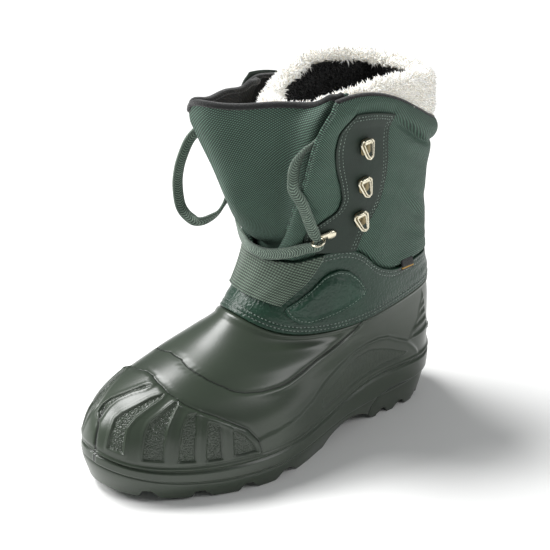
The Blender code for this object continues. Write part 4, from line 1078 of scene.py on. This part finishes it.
# ================================================================ facings
# Smooth coated leather, cut with a wavy front edge, one beside each throat edge. Two rows of
# thread run along both long edges and across the squared top.
EYESTAY_LEATHER = 1.6
FACING_ROWS, FACING_COLUMNS, FACING_FOOT, FACING_TOP = 120, 44, 9.02, 11.72
FACING_THREADS = (2.4, 4.9)     # mm of the two rows inside the edge
FIRST_STITCH, GAUGE = 6, 20     # row where stitches begin, column on which height is read
SIDES = (("outer", False), ("inner", True))     # name, mirrored
facing_leather = leather_finish("smooth_coated_leather", "15231B", "203026", 1500.0, 0.22, 0.58,
                                coat=0.0)
facing_levels = FACING_FOOT + (FACING_TOP - FACING_FOOT) * toward_edges(FACING_ROWS, 0.6)
level = np.repeat(facing_levels[:, None], FACING_COLUMNS, 1)
front, rear = (smooth_column(EYESTAY, level, 0.06, column) for column in (1, 2))
around = front + (rear - front) * toward_edges(FACING_COLUMNS, 0.7)
outer_ground, outer_ways = form(level, around), normal(level, around)
for side_name, mirrored in SIDES:
    ground, faces_out = ((part * (-1, 1, 1) if mirrored else part[:, ::-1])
                         for part in (outer_ground, outer_ways))
    run, rise = mm_along(ground)
    lines = np.minimum(np.minimum(run, run.max() - run), rise[-1] - rise)
    pucker = 0.25 * sum(bump_at(lines, thread_at, 0.8) for thread_at in FACING_THREADS)
    buckle = 0.4 * np.sin(rise * 0.11 + run * 0.06)
    out_mm = SHAFT_PUFF + REST + EYESTAY_LEATHER - pucker + buckle \
        + 2.4 * np.clip((padding(level) - SHAFT_PUFF) / CUFF_PUFF, 0, 1)
    make_shell(f"facing_{side_name}", ground, faces_out, out_mm - EYESTAY_LEATHER / 2,
               EYESTAY_LEATHER / 2 * hem(ground, 1.2), facing_leather,
               node=f"eyestay_{side_name}", slot="smooth_leather")
    lift = over(ground, faces_out, out_mm + 0.1)

    def inset(mm):
        """A line mm inside the facing's two long edges and its top, with its normals."""
        left, right = (int(round(np.interp(at, run[0], np.arange(FACING_COLUMNS))))
                       for at in (mm, run[0, -1] - mm))
        last = int(np.interp(rise[-1].mean() - mm, rise[:, GAUGE], np.arange(FACING_ROWS)))
        up = np.arange(FIRST_STITCH, last)
        over_top = np.arange(left + 1, right)
        row = np.concatenate((up, np.full_like(over_top, up[-1]), up[::-1]))
        column = np.concatenate((np.full_like(up, left), over_top, np.full_like(up, right)))
        return lift[row, column], faces_out[row, column]

    sew(f"facing_stitches_{side_name}", [inset(thread_at) for thread_at in FACING_THREADS],
        thread, length=2.0, thick=0.36, spacing=2.7, slot="smooth_leather")


# ================================================================ strap and patches
# Ribbed elastic across the instep, its ends sewn under two leaf shaped leather patches that
# are padded and stitched round their rims.
STRAP_WALL, PATCH_WALL = 1.5, 2.6
PATCH = (
    (0.276, 7.82, 7.96), (0.282, 7.68, 8.14), (0.294, 7.56, 8.36), (0.312, 7.47, 8.53),
    (0.332, 7.38, 8.55), (0.350, 7.28, 8.42), (0.366, 7.26, 8.06), (0.384, 7.32, 7.80),
    (0.396, 7.42, 7.66),
)
STRAP_END = ((0.33, 7.53, 0.409), (0.62, 8.01, 0.379), (1.00, 8.64, 0.355))
PATCH_ENDS, PATCH_ROWS, PATCH_THREAD = (0.2752, 0.3968), 44, 2.6
LOWER_WAY, UPPER_WAY = 10, 33           # rows that give the stitches' outward ways
patch_leather = leather_finish("padded_pebbled_leather", "0B281B", "184230", 520.0, 1.15, 0.44)
share = toward_edges(72, 0.85)
patch_around = PATCH_ENDS[0] + (PATCH_ENDS[1] - PATCH_ENDS[0]) * share
low, high = (smooth_column(PATCH, patch_around, 0.004, column) for column in (1, 2))
leaf = np.sqrt(np.clip(np.sin(math.pi * share), 0, 1)) ** 0.6      # rounds both tips
middle, reach = (low + high) / 2, (high - low) / 2 * leaf
patch_level = middle - reach + 2 * reach * toward_edges(PATCH_ROWS, 0.75)[:, None]
for side_name, mirrored in SIDES:
    level, around = patch_level, np.broadcast_to(patch_around, patch_level.shape)
    if mirrored:
        level, around = level[:, ::-1], 1 - around[:, ::-1]
    ground, faces_out = form(level, around), normal(level, around)
    run, rise = mm_along(ground)
    along = np.minimum(run, run.max() - run)
    from_edge = np.minimum(from_ends(rise), along * 0.9)
    puff = 2.3 * step_up(from_edge, 2.4, 10.0)
    groove = 0.45 * bump_at(from_edge, PATCH_THREAD, 0.8)
    out_mm = BAND_OUT + REST + PATCH_WALL + puff - groove - 0.6
    make_shell(f"patch_{side_name}", ground, faces_out, out_mm - PATCH_WALL / 2,
               PATCH_WALL / 2 * hem(ground, 1.2), patch_leather,
               node=f"strap_patch_{side_name}", slot="grained_leather")
    lift = over(ground, faces_out, out_mm + 0.15)
    column = np.nonzero((along[0] > 2.8) & (rise[-1] > 5.6))[0]
    lower_half = np.arange(PATCH_ROWS // 2)
    row = np.rint([np.interp(PATCH_THREAD, rise[lower_half, c], lower_half)
                   for c in column]).astype(int)
    loop = np.concatenate((lift[row, column], lift[PATCH_ROWS - 1 - row, column][::-1]))
    ways = np.concatenate((faces_out[LOWER_WAY, column], faces_out[UPPER_WAY, column][::-1]))
    sew(f"patch_stitches_{side_name}", [closed((loop, ways))], thread, length=2.1, thick=0.38,
        spacing=2.8, slot="grained_leather")

# Elastic webbing: fine ribs along its length, crossed by rubber cores, with a plain selvedge
# line near each edge. Ribs and cores are drawn 2.2 and 2.0 mm apart, coarser than life, so
# that they show.
elastic, tree, shader = new_finish("elastic_webbing", Roughness=0.8, Sheen_Weight=0.25,
                                   Sheen_Roughness=0.5)
u, v = cloth_run(tree)
ridge, core_line = wave(tree, v, 2.2), wave(tree, u, 2.0)
knit = total(tree, (ridge, 0.6), (core_line, 0.35), (ridge, core_line, 0.18))
lift = add(tree, "MapRange", {"Value": knit, "From Min": -0.75, "From Max": 0.95})
dress(tree, shader, "080F0B",
      [(lift, "6C816E"), (crease(tree, "selvedge", 1.6, 0.35, 0.6), "1A221E")],
      lift, 0.0005, 0.8)
end_height = 0.33 + 0.67 * toward_edges(40, 0.6)[:, None]
end_around = smooth_column(STRAP_END, end_height, 0.05, 2)
around = end_around + (1 - 2 * end_around) * np.linspace(0, 1, 150)
level = BAND_FOOT + (band_top_at(folded(around)) - BAND_FOOT) * end_height
ground, faces_out = form(level, around), normal(level, around)
run, rise = mm_along(ground)
from_edge = from_ends(rise)
ripple = 0.25 * np.sin(run * 0.35 + rise * 0.05) + 0.3 * bump_at(from_edge, 0.6, 0.8)
make_shell("instep_elastic", ground, faces_out, BAND_OUT + REST + STRAP_WALL / 2 + ripple,
           STRAP_WALL / 2 * hem(ground, 0.8), elastic, node="instep_strap",
           slot="elastic_webbing", selvedge=from_edge)


# ================================================================ side label
# A black woven tape folded double and caught in the seam over the band, with one yellow line
# woven in near its end. It carries no words.
LABEL_AT, LABEL_WIDE, LABEL_OUT, LABEL_THICK = (8.47, 0.196), 15.0, 9.0, 1.4    # mm
label_tape, tree, shader = new_finish("woven_label_tape", Roughness=0.7, Sheen_Weight=0.2)
u, v = cloth_run(tree)
weft = add(tree, "MapRange", {"Value": wave(tree, u, 0.7), "From Min": -1.0})
yellow = crease(tree, v, LABEL_OUT - 2.2, 0.5, 1.0)
dress(tree, shader, "060707", [(weft, "171A19"), (yellow, "C79A2B")], weft, 0.0003, 0.6)
across = np.linspace(-0.5, 0.5, 24)[None, :] * LABEL_WIDE
reach = np.linspace(0, 1, 20)[:, None] * LABEL_OUT
level, around = LABEL_AT
away = normal(level, around)
along = unit(form(level, around + 0.01) - form(level, around - 0.01))
label = (skin(level, around, SHAFT_PUFF + 1.8) + along * across[..., None]
         - upward * reach[..., None] + away * (1.6 * np.sin(reach / LABEL_OUT * 2.2))[..., None])
half = LABEL_THICK / 2 * hem(label, 0.7)
label_uv = np.stack(np.broadcast_arrays(across, reach), -1)
make_shell("side_label", label[::-1], away, 0.0, half[::-1], label_tape, uv=label_uv[::-1],
           slot="padded_fabric")


# ================================================================ lace hardware
# Three hooks and one ring hook on each facing: pale brass plated steel wire, bent to narrow
# D rings, in folded clips on riveted plates.
SEAT = 0.8
HOOKS = ((0.268, 11.13), (0.275, 10.44), (0.288, 9.77))     # around, level
RING_HOOK = (0.340, 9.50)
WIRE, EYE_RADIUS, EYE_AHEAD, EYE_UP, EYE_OUT = 0.9, 4.6, 11.0, 2.0, 5.6
# Plated steel: bright, smooth, slightly warm, with faint die lines.
brass, tree, shader, wear = mottled("pale_brass_plating", "C9C1A6", "F0EAD8", 700.0,
                                    Metallic=1.0, Roughness=0.24)
polish = add(tree, "MapRange", {"Value": wear, "To Min": 0.16, "To Max": 0.36})
tree.links.new(polish.outputs[0], shader.inputs["Roughness"])
aged = mottled("aged_bronze_plate", "6E6146", "978A68", 500.0, Metallic=1.0, Roughness=0.34)[0]


def plate_frame(place):
    """Where a plate lies on the facing, with its axes: forward, up, and out."""
    around, level = place
    away = normal(level, around)
    origin = skin(level, around, SHAFT_PUFF + REST + EYESTAY_LEATHER + SEAT)
    up = square_to(away, form(level + 0.02, around) - form(level - 0.02, around))
    return origin, np.cross(away, up), up, away


def closed_wire(corners, radius, soft, sides=8):
    """A wire bent through corners, rounded by blending each corner with its neighbours, and
    a circle of `sides` points carried along it. Returns points and faces."""
    path = subdivided(np.asarray(corners, float), 12)
    for _ in range(soft):
        path = (np.roll(path, 1, 0) + 2 * path + np.roll(path, -1, 0)) / 4
    away = np.linalg.svd(path - path.mean(0))[2][2]
    points = sweep(path, circle(sides) * radius, away, True)
    ids = numbered(len(points), sides)
    return points.reshape(-1, 3), quads(np.vstack((ids, ids[:1])))[:, ::-1]


def stacked(outline, steps):
    """A solid from one outline drawn at several sizes and heights, closed at both ends."""
    points = np.array([np.column_stack((outline * size, np.full(len(outline), height)))
                       for size, height in steps])
    return points.reshape(-1, 3), quads(numbered(len(steps), len(outline), (0, -1)))[:, ::-1]


def dome(radius_u, radius_v, rise_mm, skirt=-0.6):
    """Half an ellipsoid on a short skirt: r = cos(t), height = rise sin(t)."""
    t = np.linspace(0, math.pi / 2, 7)
    return stacked(circle(20) * (radius_u, radius_v),
                   ((0, skirt), (1, skirt), *zip(np.cos(t), np.sin(t) * rise_mm)))


def slab(width, height, depth, corner):
    """A plate with rounded corners and edges: a superellipse of power 5 drawn in at its top
    and bottom by the edge's radius."""
    drawn = 1 - corner / width * 2
    return stacked(rounded(width, height, 32, 5.0),
                   ((0, 0), (drawn, 0), (1, corner), (1, depth - corner), (drawn, depth),
                    (0, depth)))


def assemble(parts):
    """Several point and face sets as one."""
    starts = np.cumsum([0] + [len(points) for points, _ in parts])
    return (np.concatenate([points for points, _ in parts]),
            np.concatenate([faces + start for (_, faces), start in zip(parts, starts)]))


def set_on(shape, axes, mirrored, shift=(0, 0, 0)):
    """Moves a shape from plate axes (forward, up, out) to the boot."""
    points, faces = shape
    placed = axes[0] + (points + shift) @ np.array(axes[1:])
    return (placed * (-1, 1, 1), faces[:, ::-1]) if mirrored else (placed, faces)


D_RING = ((-4.4, 5.4, 1.9), (4.4, 5.4, 1.9), (5.6, 3.2, 2.2), (2.6, -6.6, 4.6),
          (0.0, -7.9, 4.9), (-2.6, -6.6, 4.6), (-5.6, 3.2, 2.2))
ring = closed_wire(D_RING, WIRE, 5)
brace = closed_wire(np.array(D_RING) * (0.62, 0.86, 1) + (0, 0.5, 1.0), WIRE * 0.7, 5)
clip_points, clip_faces = slab(6.4, 3.6, 3.4, 0.5)
bright = assemble([ring, brace, (clip_points + (0, 4.6, 0.3), clip_faces)])
plate = slab(8.6, 12.4, 1.1, 0.3)
for number, place in enumerate(HOOKS, 1):
    axes = plate_frame(place)
    for side_name, mirrored in SIDES:
        make_piece(f"hook_{side_name}_{number}", *set_on(bright, axes, mirrored), brass,
                   f"lace_hook_{side_name}_{number}", "pale_brass")
        make_piece(f"hook_plate_{side_name}_{number}",
                   *set_on(plate, axes, mirrored, (0, 0, -0.6)), aged, slot="pale_brass")
axes = plate_frame(RING_HOOK)
eye_ring = np.insert(circle(16) * EYE_RADIUS, 1, 0, axis=1) + (EYE_AHEAD, EYE_UP, EYE_OUT)
tab_points, tab_faces = slab(13.0, 4.6, 1.3, 0.4)
ring_hook = assemble([closed_wire(eye_ring, WIRE, 2, 10), dome(4.4, 3.6, 1.7),
                      (tab_points + (5.2, 1.4, 0.0), tab_faces)])
for side_name, mirrored in SIDES:
    make_piece(f"ring_hook_{side_name}_wire", *set_on(ring_hook, axes, mirrored), brass,
               f"ring_hook_{side_name}", "pale_brass")


# ================================================================ lace
# One flat braid, 8.4 mm wide and 2.6 mm thick, with a paler fleck in its dark green yarn. It
# passes through both ring hooks. Each end goes back into the boot: the outer one behind the
# quarter's edge, the inner one behind the tongue's fold.
BRAID_WIDTH, BRAID_THICK = 8.4, 2.6
LACE_GAP, LACE_RISE, LACE_DROP = 0.9, 3.0, 3.6     # inside the eye, over it and under it
LACE_BAR = (                    # level, around, mm outside the last
    (9.22, 0.388, 6.1), (9.06, 0.416, 5.2), (8.90, 0.446, 4.4), (8.80, 0.475, 5.0),
    (8.79, 0.503, 5.4), (8.80, 0.528, 5.2), (8.86, 0.553, 5.0), (8.95, 0.578, 6.0),
    (9.08, 0.600, 8.0), (9.20, 0.616, 9.0),
)
OUTER_END = (                   # mm, from the eye to where the braid goes into the boot
    (46.4, -103, 184), (45.4, -107, 195), (44.8, -112, 207), (40, -115, 215),
    (37, -113, 221.5), (37, -112.5, 228), (38.5, -111, 235.4), (41.5, -107.5, 242.7),
    (44.8, -102.5, 246.5), (46.6, -97.5, 250.5),
)
INNER_END = (
    (-48.8, -102.7, 178.8), (-49, -107, 178), (-49, -110.8, 173.5), (-50.4, -116.5, 167.2),
    (-55, -127, 162.5), (-62, -132, 163.9), (-70.4, -135, 171.8), (-71.2, -137, 189.2),
    (-68.6, -137, 203.7), (-65.7, -135, 215.3), (-63.1, -131, 226.1), (-59.5, -126, 233.3),
    (-57.5, -118, 238), (-57.5, -109, 240.5), (-59.3, -98, 241.5), (-61, -86, 242),
    (-61.8, -77, 242),
)


def smooth_route(points, spacing):
    """Points about `spacing` mm apart along a Catmull-Rom spline through a few chosen ones:
    (2b + (c - a) t + (2a - 5b + 4c - d) t^2 + (3b - a - 3c + d) t^3) / 2."""
    t, (a, b, c, d) = four_around(points, 12 * len(points))
    fine = 0.5 * (2 * b + (c - a) * t + (2 * a - 5 * b + 4 * c - d) * t**2
                  + (3 * b - a - 3 * c + d) * t**3)
    run = run_along(fine)
    return between(np.linspace(0, run[-1], int(run[-1] / spacing) + 1), run, fine)


# Round polyester braid pressed flat: plaits lean toward the middle line from both edges and
# meet in a herringbone, here drawn 2.0 mm long, with yarns 0.8 mm apart within each plait.
PLAIT, YARN, LEAN = 2.0, 0.8, 6.0
braid, tree, shader = new_finish("braided_polyester_lace", Roughness=0.7, Sheen_Weight=0.25,
                                 Sheen_Roughness=0.45)
u, v = cloth_run(tree)
turned = add(tree, "Math", {0: v, 1: 4.0}, operation="MULTIPLY")
zigzag = add(tree, "Math", {0: turned, 1: 1.0}, operation="PINGPONG")
slant = add(tree, "Math", {0: zigzag, 1: LEAN, 2: u}, operation="MULTIPLY_ADD")
plait = total(tree, wave(tree, slant, PLAIT), (wave(tree, slant, YARN), 0.2))
lift = add(tree, "MapRange", {"Value": plait, "From Min": -1.1, "From Max": 1.1})
fleck = add(tree, "TexNoise", {"Vector": add(tree, "TexCoord").outputs["Object"],
                               "Scale": 900.0, "Detail": 2.0})
paler = add(tree, "MapRange", {"Value": fleck, "From Min": 0.52, "From Max": 0.68})
flecked = add(tree, "Math", {0: paler, 1: lift}, operation="MULTIPLY")
dress(tree, shader, "101712", [(lift, "74897A"), (flecked, "93A594")], lift, 0.0003, 0.7)

origin, forward, up, away = plate_frame(RING_HOOK)
eye_middle = origin + forward * EYE_AHEAD + up * EYE_UP + away * EYE_OUT
flip = np.array((-1, 1, 1))
foot = np.array((eye_middle - up * LACE_GAP, eye_middle - up * LACE_DROP))
start = np.array((eye_middle + up * LACE_GAP, eye_middle + up * LACE_RISE))
levels, places, outs = np.array(LACE_BAR).T


def lay_braid(name, node, points, chosen, both_ends=False):
    """A braid through chosen points. Its flat side faces the ways chosen at some shares of
    its run, turned smoothly, and it is squeezed to the eye's bore at one end or both."""
    path = smooth_route(points, 1.0)
    run = run_along(path)
    squeeze = 1 - step_up(from_ends(run) if both_ends else run, 1.0, 7.0)
    section = np.column_stack((BRAID_WIDTH * (1 - 0.34 * squeeze),
                               BRAID_THICK * (1 + 0.25 * squeeze)))
    ways = between(np.linspace(0, 1, len(path)), *zip(*chosen))
    for _ in range(12):
        ways[1:-1] = (ways[:-2] + 2 * ways[1:-1] + ways[2:]) / 4
    made = capped_tube(name, path, rounded(1.0, 1.0, 20, 4.5) * section[:, None], ways, braid,
                       taper=0.9, node=node, slot="braided_lace")
    return made, path * 0.001, float(run[-1]) * 0.001


on_front = normal(levels, places)
lay_braid("lace_bar_braid", "lace_bar",
          (*foot, *skin(levels, places, outs), *(foot * flip)[::-1]),
          [(0.0, away)] + [(0.09 + 0.82 * k / 9, on_front[k]) for k in range(10)]
          + [(1.0, away * flip)], True)
OUTER_WAYS = ((0.25, (0.75, -0.62, 0.1)), (0.58, (0.75, -0.6, 0.1)), (0.72, (0.98, -0.1, 0.1)),
              (0.85, (0.8, 0.5, 0.0)), (1.0, (0.8, 0.5, 0.0)))
INNER_WAYS = ((0.1, (-0.6, -0.7, 0.1)), (0.3, (-0.9, 0.2, 0.2)), (0.5, (-1, 0.1, 0)),
              (0.7, (-1, 0.1, 0.0)), (0.85, (-0.9, 0.1, 0.35)), (1.0, (-0.9, 0.0, 0.4)))
for node, points, chosen in (
        ("lace_end_outer", (*start, *OUTER_END), ((0.0, away), *OUTER_WAYS)),
        ("lace_end_inner", (*(start * flip), *INNER_END), ((0.0, away * flip), *INNER_WAYS))):
    made, path, length = lay_braid(f"{node}_braid", node, points, chosen)


# ================================================================ fur liner
# A loose felt sock with a rim of cream lamb fleece outside and a black pile inside. The
# fleece is 5 to 8 mm tall and stands over the collar.
LINER_ROWS = (
    (33, 124, -110, 132, 2.0, 4, 0, 39, 47, 45, 34, 2),
    (28, 146, -108, 160, 1.0, 0, 1, 39, 48, 47, 36, 0),
    (26, 175, -108, 192, 1.0, 0, 6, 40, 50, 49, 36, 0),
    (29, 205, -108, 224, 1.0, 0, 14, 42, 52, 50, 37, 0),
    (34, 238, -108, 248, 1.0, 0, 20, 43, 53, 50, 37, 0),
    (37, 272, -106, 264, 1.0, 0, 12, 43, 50, 48, 36, 0),
)
SOCK_ROWS = np.array(FOOT_ROWS[:-1] + LINER_ROWS, float)
CLEAR, LINER_WALL, RIM_WALL = GALOSH_WALL + 0.9, 7.0, 9.0
SOCK_PROFILE = (                # level, mm inside the last
    (1.30, CLEAR + 4.5), (1.70, CLEAR + 2.0), (2.40, CLEAR + 0.5), (3.60, CLEAR),
    (4.80, CLEAR), (5.80, CLEAR + 0.2), (6.60, CLEAR + 0.4), (7.45, CLEAR),
    (8.60, CLEAR + 1.0), (10.20, CLEAR), (12.00, CLEAR - 1.0), (12.70, CLEAR + 0.2),
    (12.90, CLEAR + 2.0), (12.95, CLEAR + RIM_WALL / 2), (12.88, CLEAR + RIM_WALL - 2),
    (12.66, CLEAR + RIM_WALL), (11.80, CLEAR + RIM_WALL), (9.90, CLEAR + LINER_WALL),
    (8.20, CLEAR + LINER_WALL), (6.80, CLEAR + LINER_WALL), (5.40, CLEAR + LINER_WALL),
    (4.00, CLEAR + LINER_WALL), (2.60, CLEAR + LINER_WALL + 1), (1.85, CLEAR + LINER_WALL + 5),
)
SOCK_COLUMNS, PROFILE_MM = 96, 20       # mm that stand for one level along the profile
profile = smooth_route(np.array(SOCK_PROFILE) * (PROFILE_MM, 1), 1.4)
level, inside = np.clip(profile[:, 0] / PROFILE_MM, FLOOR_LEVEL, 13), profile[:, 1]
profile_rows = np.arange(len(profile))
rim_row = int(np.argmax(level))
FLEECE_FROM, PAST_RIM, PILE_ROWS = 12.05, 4, 30     # level, then rows of the profile
first_row, dark_row = int(np.argmax(level > FLEECE_FROM)), rim_row + PAST_RIM
walls = skin(level[:, None], np.arange(SOCK_COLUMNS) / SOCK_COLUMNS, -inside[:, None], SOCK_ROWS)
bottoms = walls[[0, -1]].copy()
bottoms[..., 0] = 0
bottoms[..., 1] = np.clip(walls[0, :, 1], -200, 15)
grid = np.concatenate((bottoms[:1], walls, bottoms[1:]))
dark_side = np.zeros(grid.shape[:2])
dark_side[dark_row + 2:] = 1.0
# Needled felt under the fleece: cream outside, black inside, matt and uneven.
felt, tree, shader = new_finish("wool_felt_sock", Roughness=0.95, Sheen_Weight=0.3)
wool = add(tree, "TexNoise", {"Vector": add(tree, "TexCoord").outputs["Object"],
                              "Scale": 420.0, "Detail": 4.0})
black = add(tree, "Mix", {0: wool, 6: linear("060707"), 7: linear("1A1A1A")}, data_type="RGBA")
dress(tree, shader, "CFC7B2", [(wool, "F4F0E4"), ("dark_side", black.outputs[2])], wool, 0.0012)
make_piece("felt_sock", grid, quads(closed_below(numbered(len(grid), SOCK_COLUMNS))), felt,
           "fur_liner", "cream_fur", dark_side=dark_side)


def sock_at(row, place):
    """Points of the sock between its profile's rows."""
    return skin(np.interp(row, profile_rows, level), place,
                -np.interp(row, profile_rows, inside), SOCK_ROWS)


def grow(name, roots, tips, bends, thick, finish, **settings):
    """Locks of fleece as one mesh. Each is a three sided cone along the curve
    root (1 - t)^2 + 2 bend t (1 - t) + tip t^2, whose width falls as 1 - t^3."""
    t = np.array((0.0, 0.35, 0.7, 1.0))
    blend = ((1 - t) ** 2, 2 * t * (1 - t), t ** 2)
    line = sum(b[None, :, None] * p[:, None] for b, p in zip(blend, (roots, bends, tips)))
    heading = unit(tips - roots)
    seed = np.where(np.abs(heading[:, 2:]) < 0.9, (0.0, 0.0, 1.0), (1.0, 0.0, 0.0))
    aside = unit(np.cross(heading, seed))
    ring = (circle(3) @ np.stack((aside, np.cross(heading, aside)), 1))[:, None]
    width = (thick[:, None] * (1 - t ** 3))[:, :3, None, None]
    body = line[:, :3, None] + ring * width
    points = np.concatenate((body.reshape(len(roots), -1, 3), line[:, 3:]), 1)
    cone = quads(np.vstack((numbered(3, 3), np.full((1, 3), 9))))[:, ::-1]
    return make_piece(name, points, copied(cone, 10, len(roots)), finish, **settings)


# Lamb fleece: soft cream locks, brighter at their tips. Light wanders deep in real fleece and
# fills its shade, which a faint glow of its own stands for here.
fleece = mottled("lamb_fleece", "FAF6EA", "FFFEFB", 160.0, Roughness=0.85, Sheen_Weight=0.5,
                 Sheen_Roughness=0.5, Subsurface_Weight=0.6, Emission_Strength=0.13,
                 Emission_Color=linear("FFFBF0"), Subsurface_Radius=(0.006, 0.0055, 0.005))[0]
# Black plush pile, short and matt.
pile = mottled("black_plush_pile", "050606", "1D1D1E", 220.0, Roughness=0.9,
               Sheen_Weight=0.15)[0]
random = np.random.default_rng(7)
for name, count, low, high, length, thick, finish in (
        ("fleece_locks", 12500, first_row, dark_row, (5.0, 8.0), 0.78, fleece),
        ("pile_tufts", 6500, dark_row, dark_row + PILE_ROWS, (1.8, 3.2), 0.6, pile)):
    row, place = random.uniform(low, high, count), random.uniform(0, 1, count)
    level_at = np.interp(row, profile_rows, level)
    roots = sock_at(row, place)
    ways = unit(np.cross(sock_at(row + 0.6, place) - sock_at(row - 0.6, place),
                         sock_at(row, place + 0.002) - sock_at(row, place - 0.002)))
    curl = random.normal(0, 1, (count, 3))
    swirl = np.column_stack((np.sin(place * 90 + level_at * 11),
                             np.cos(place * 77 - level_at * 9), np.sin(place * 60)))
    lean = unit(ways + 0.6 * curl + 0.6 * swirl + upward * 0.1)
    size = random.uniform(*length, count)[:, None]
    bends = roots + ways * size * 0.55 + random.normal(0, 0.5, (count, 3))
    grow(name, roots - ways * 0.8, roots + lean * size, bends,
         thick * random.uniform(0.7, 1.3, count), finish, slot="cream_fur")
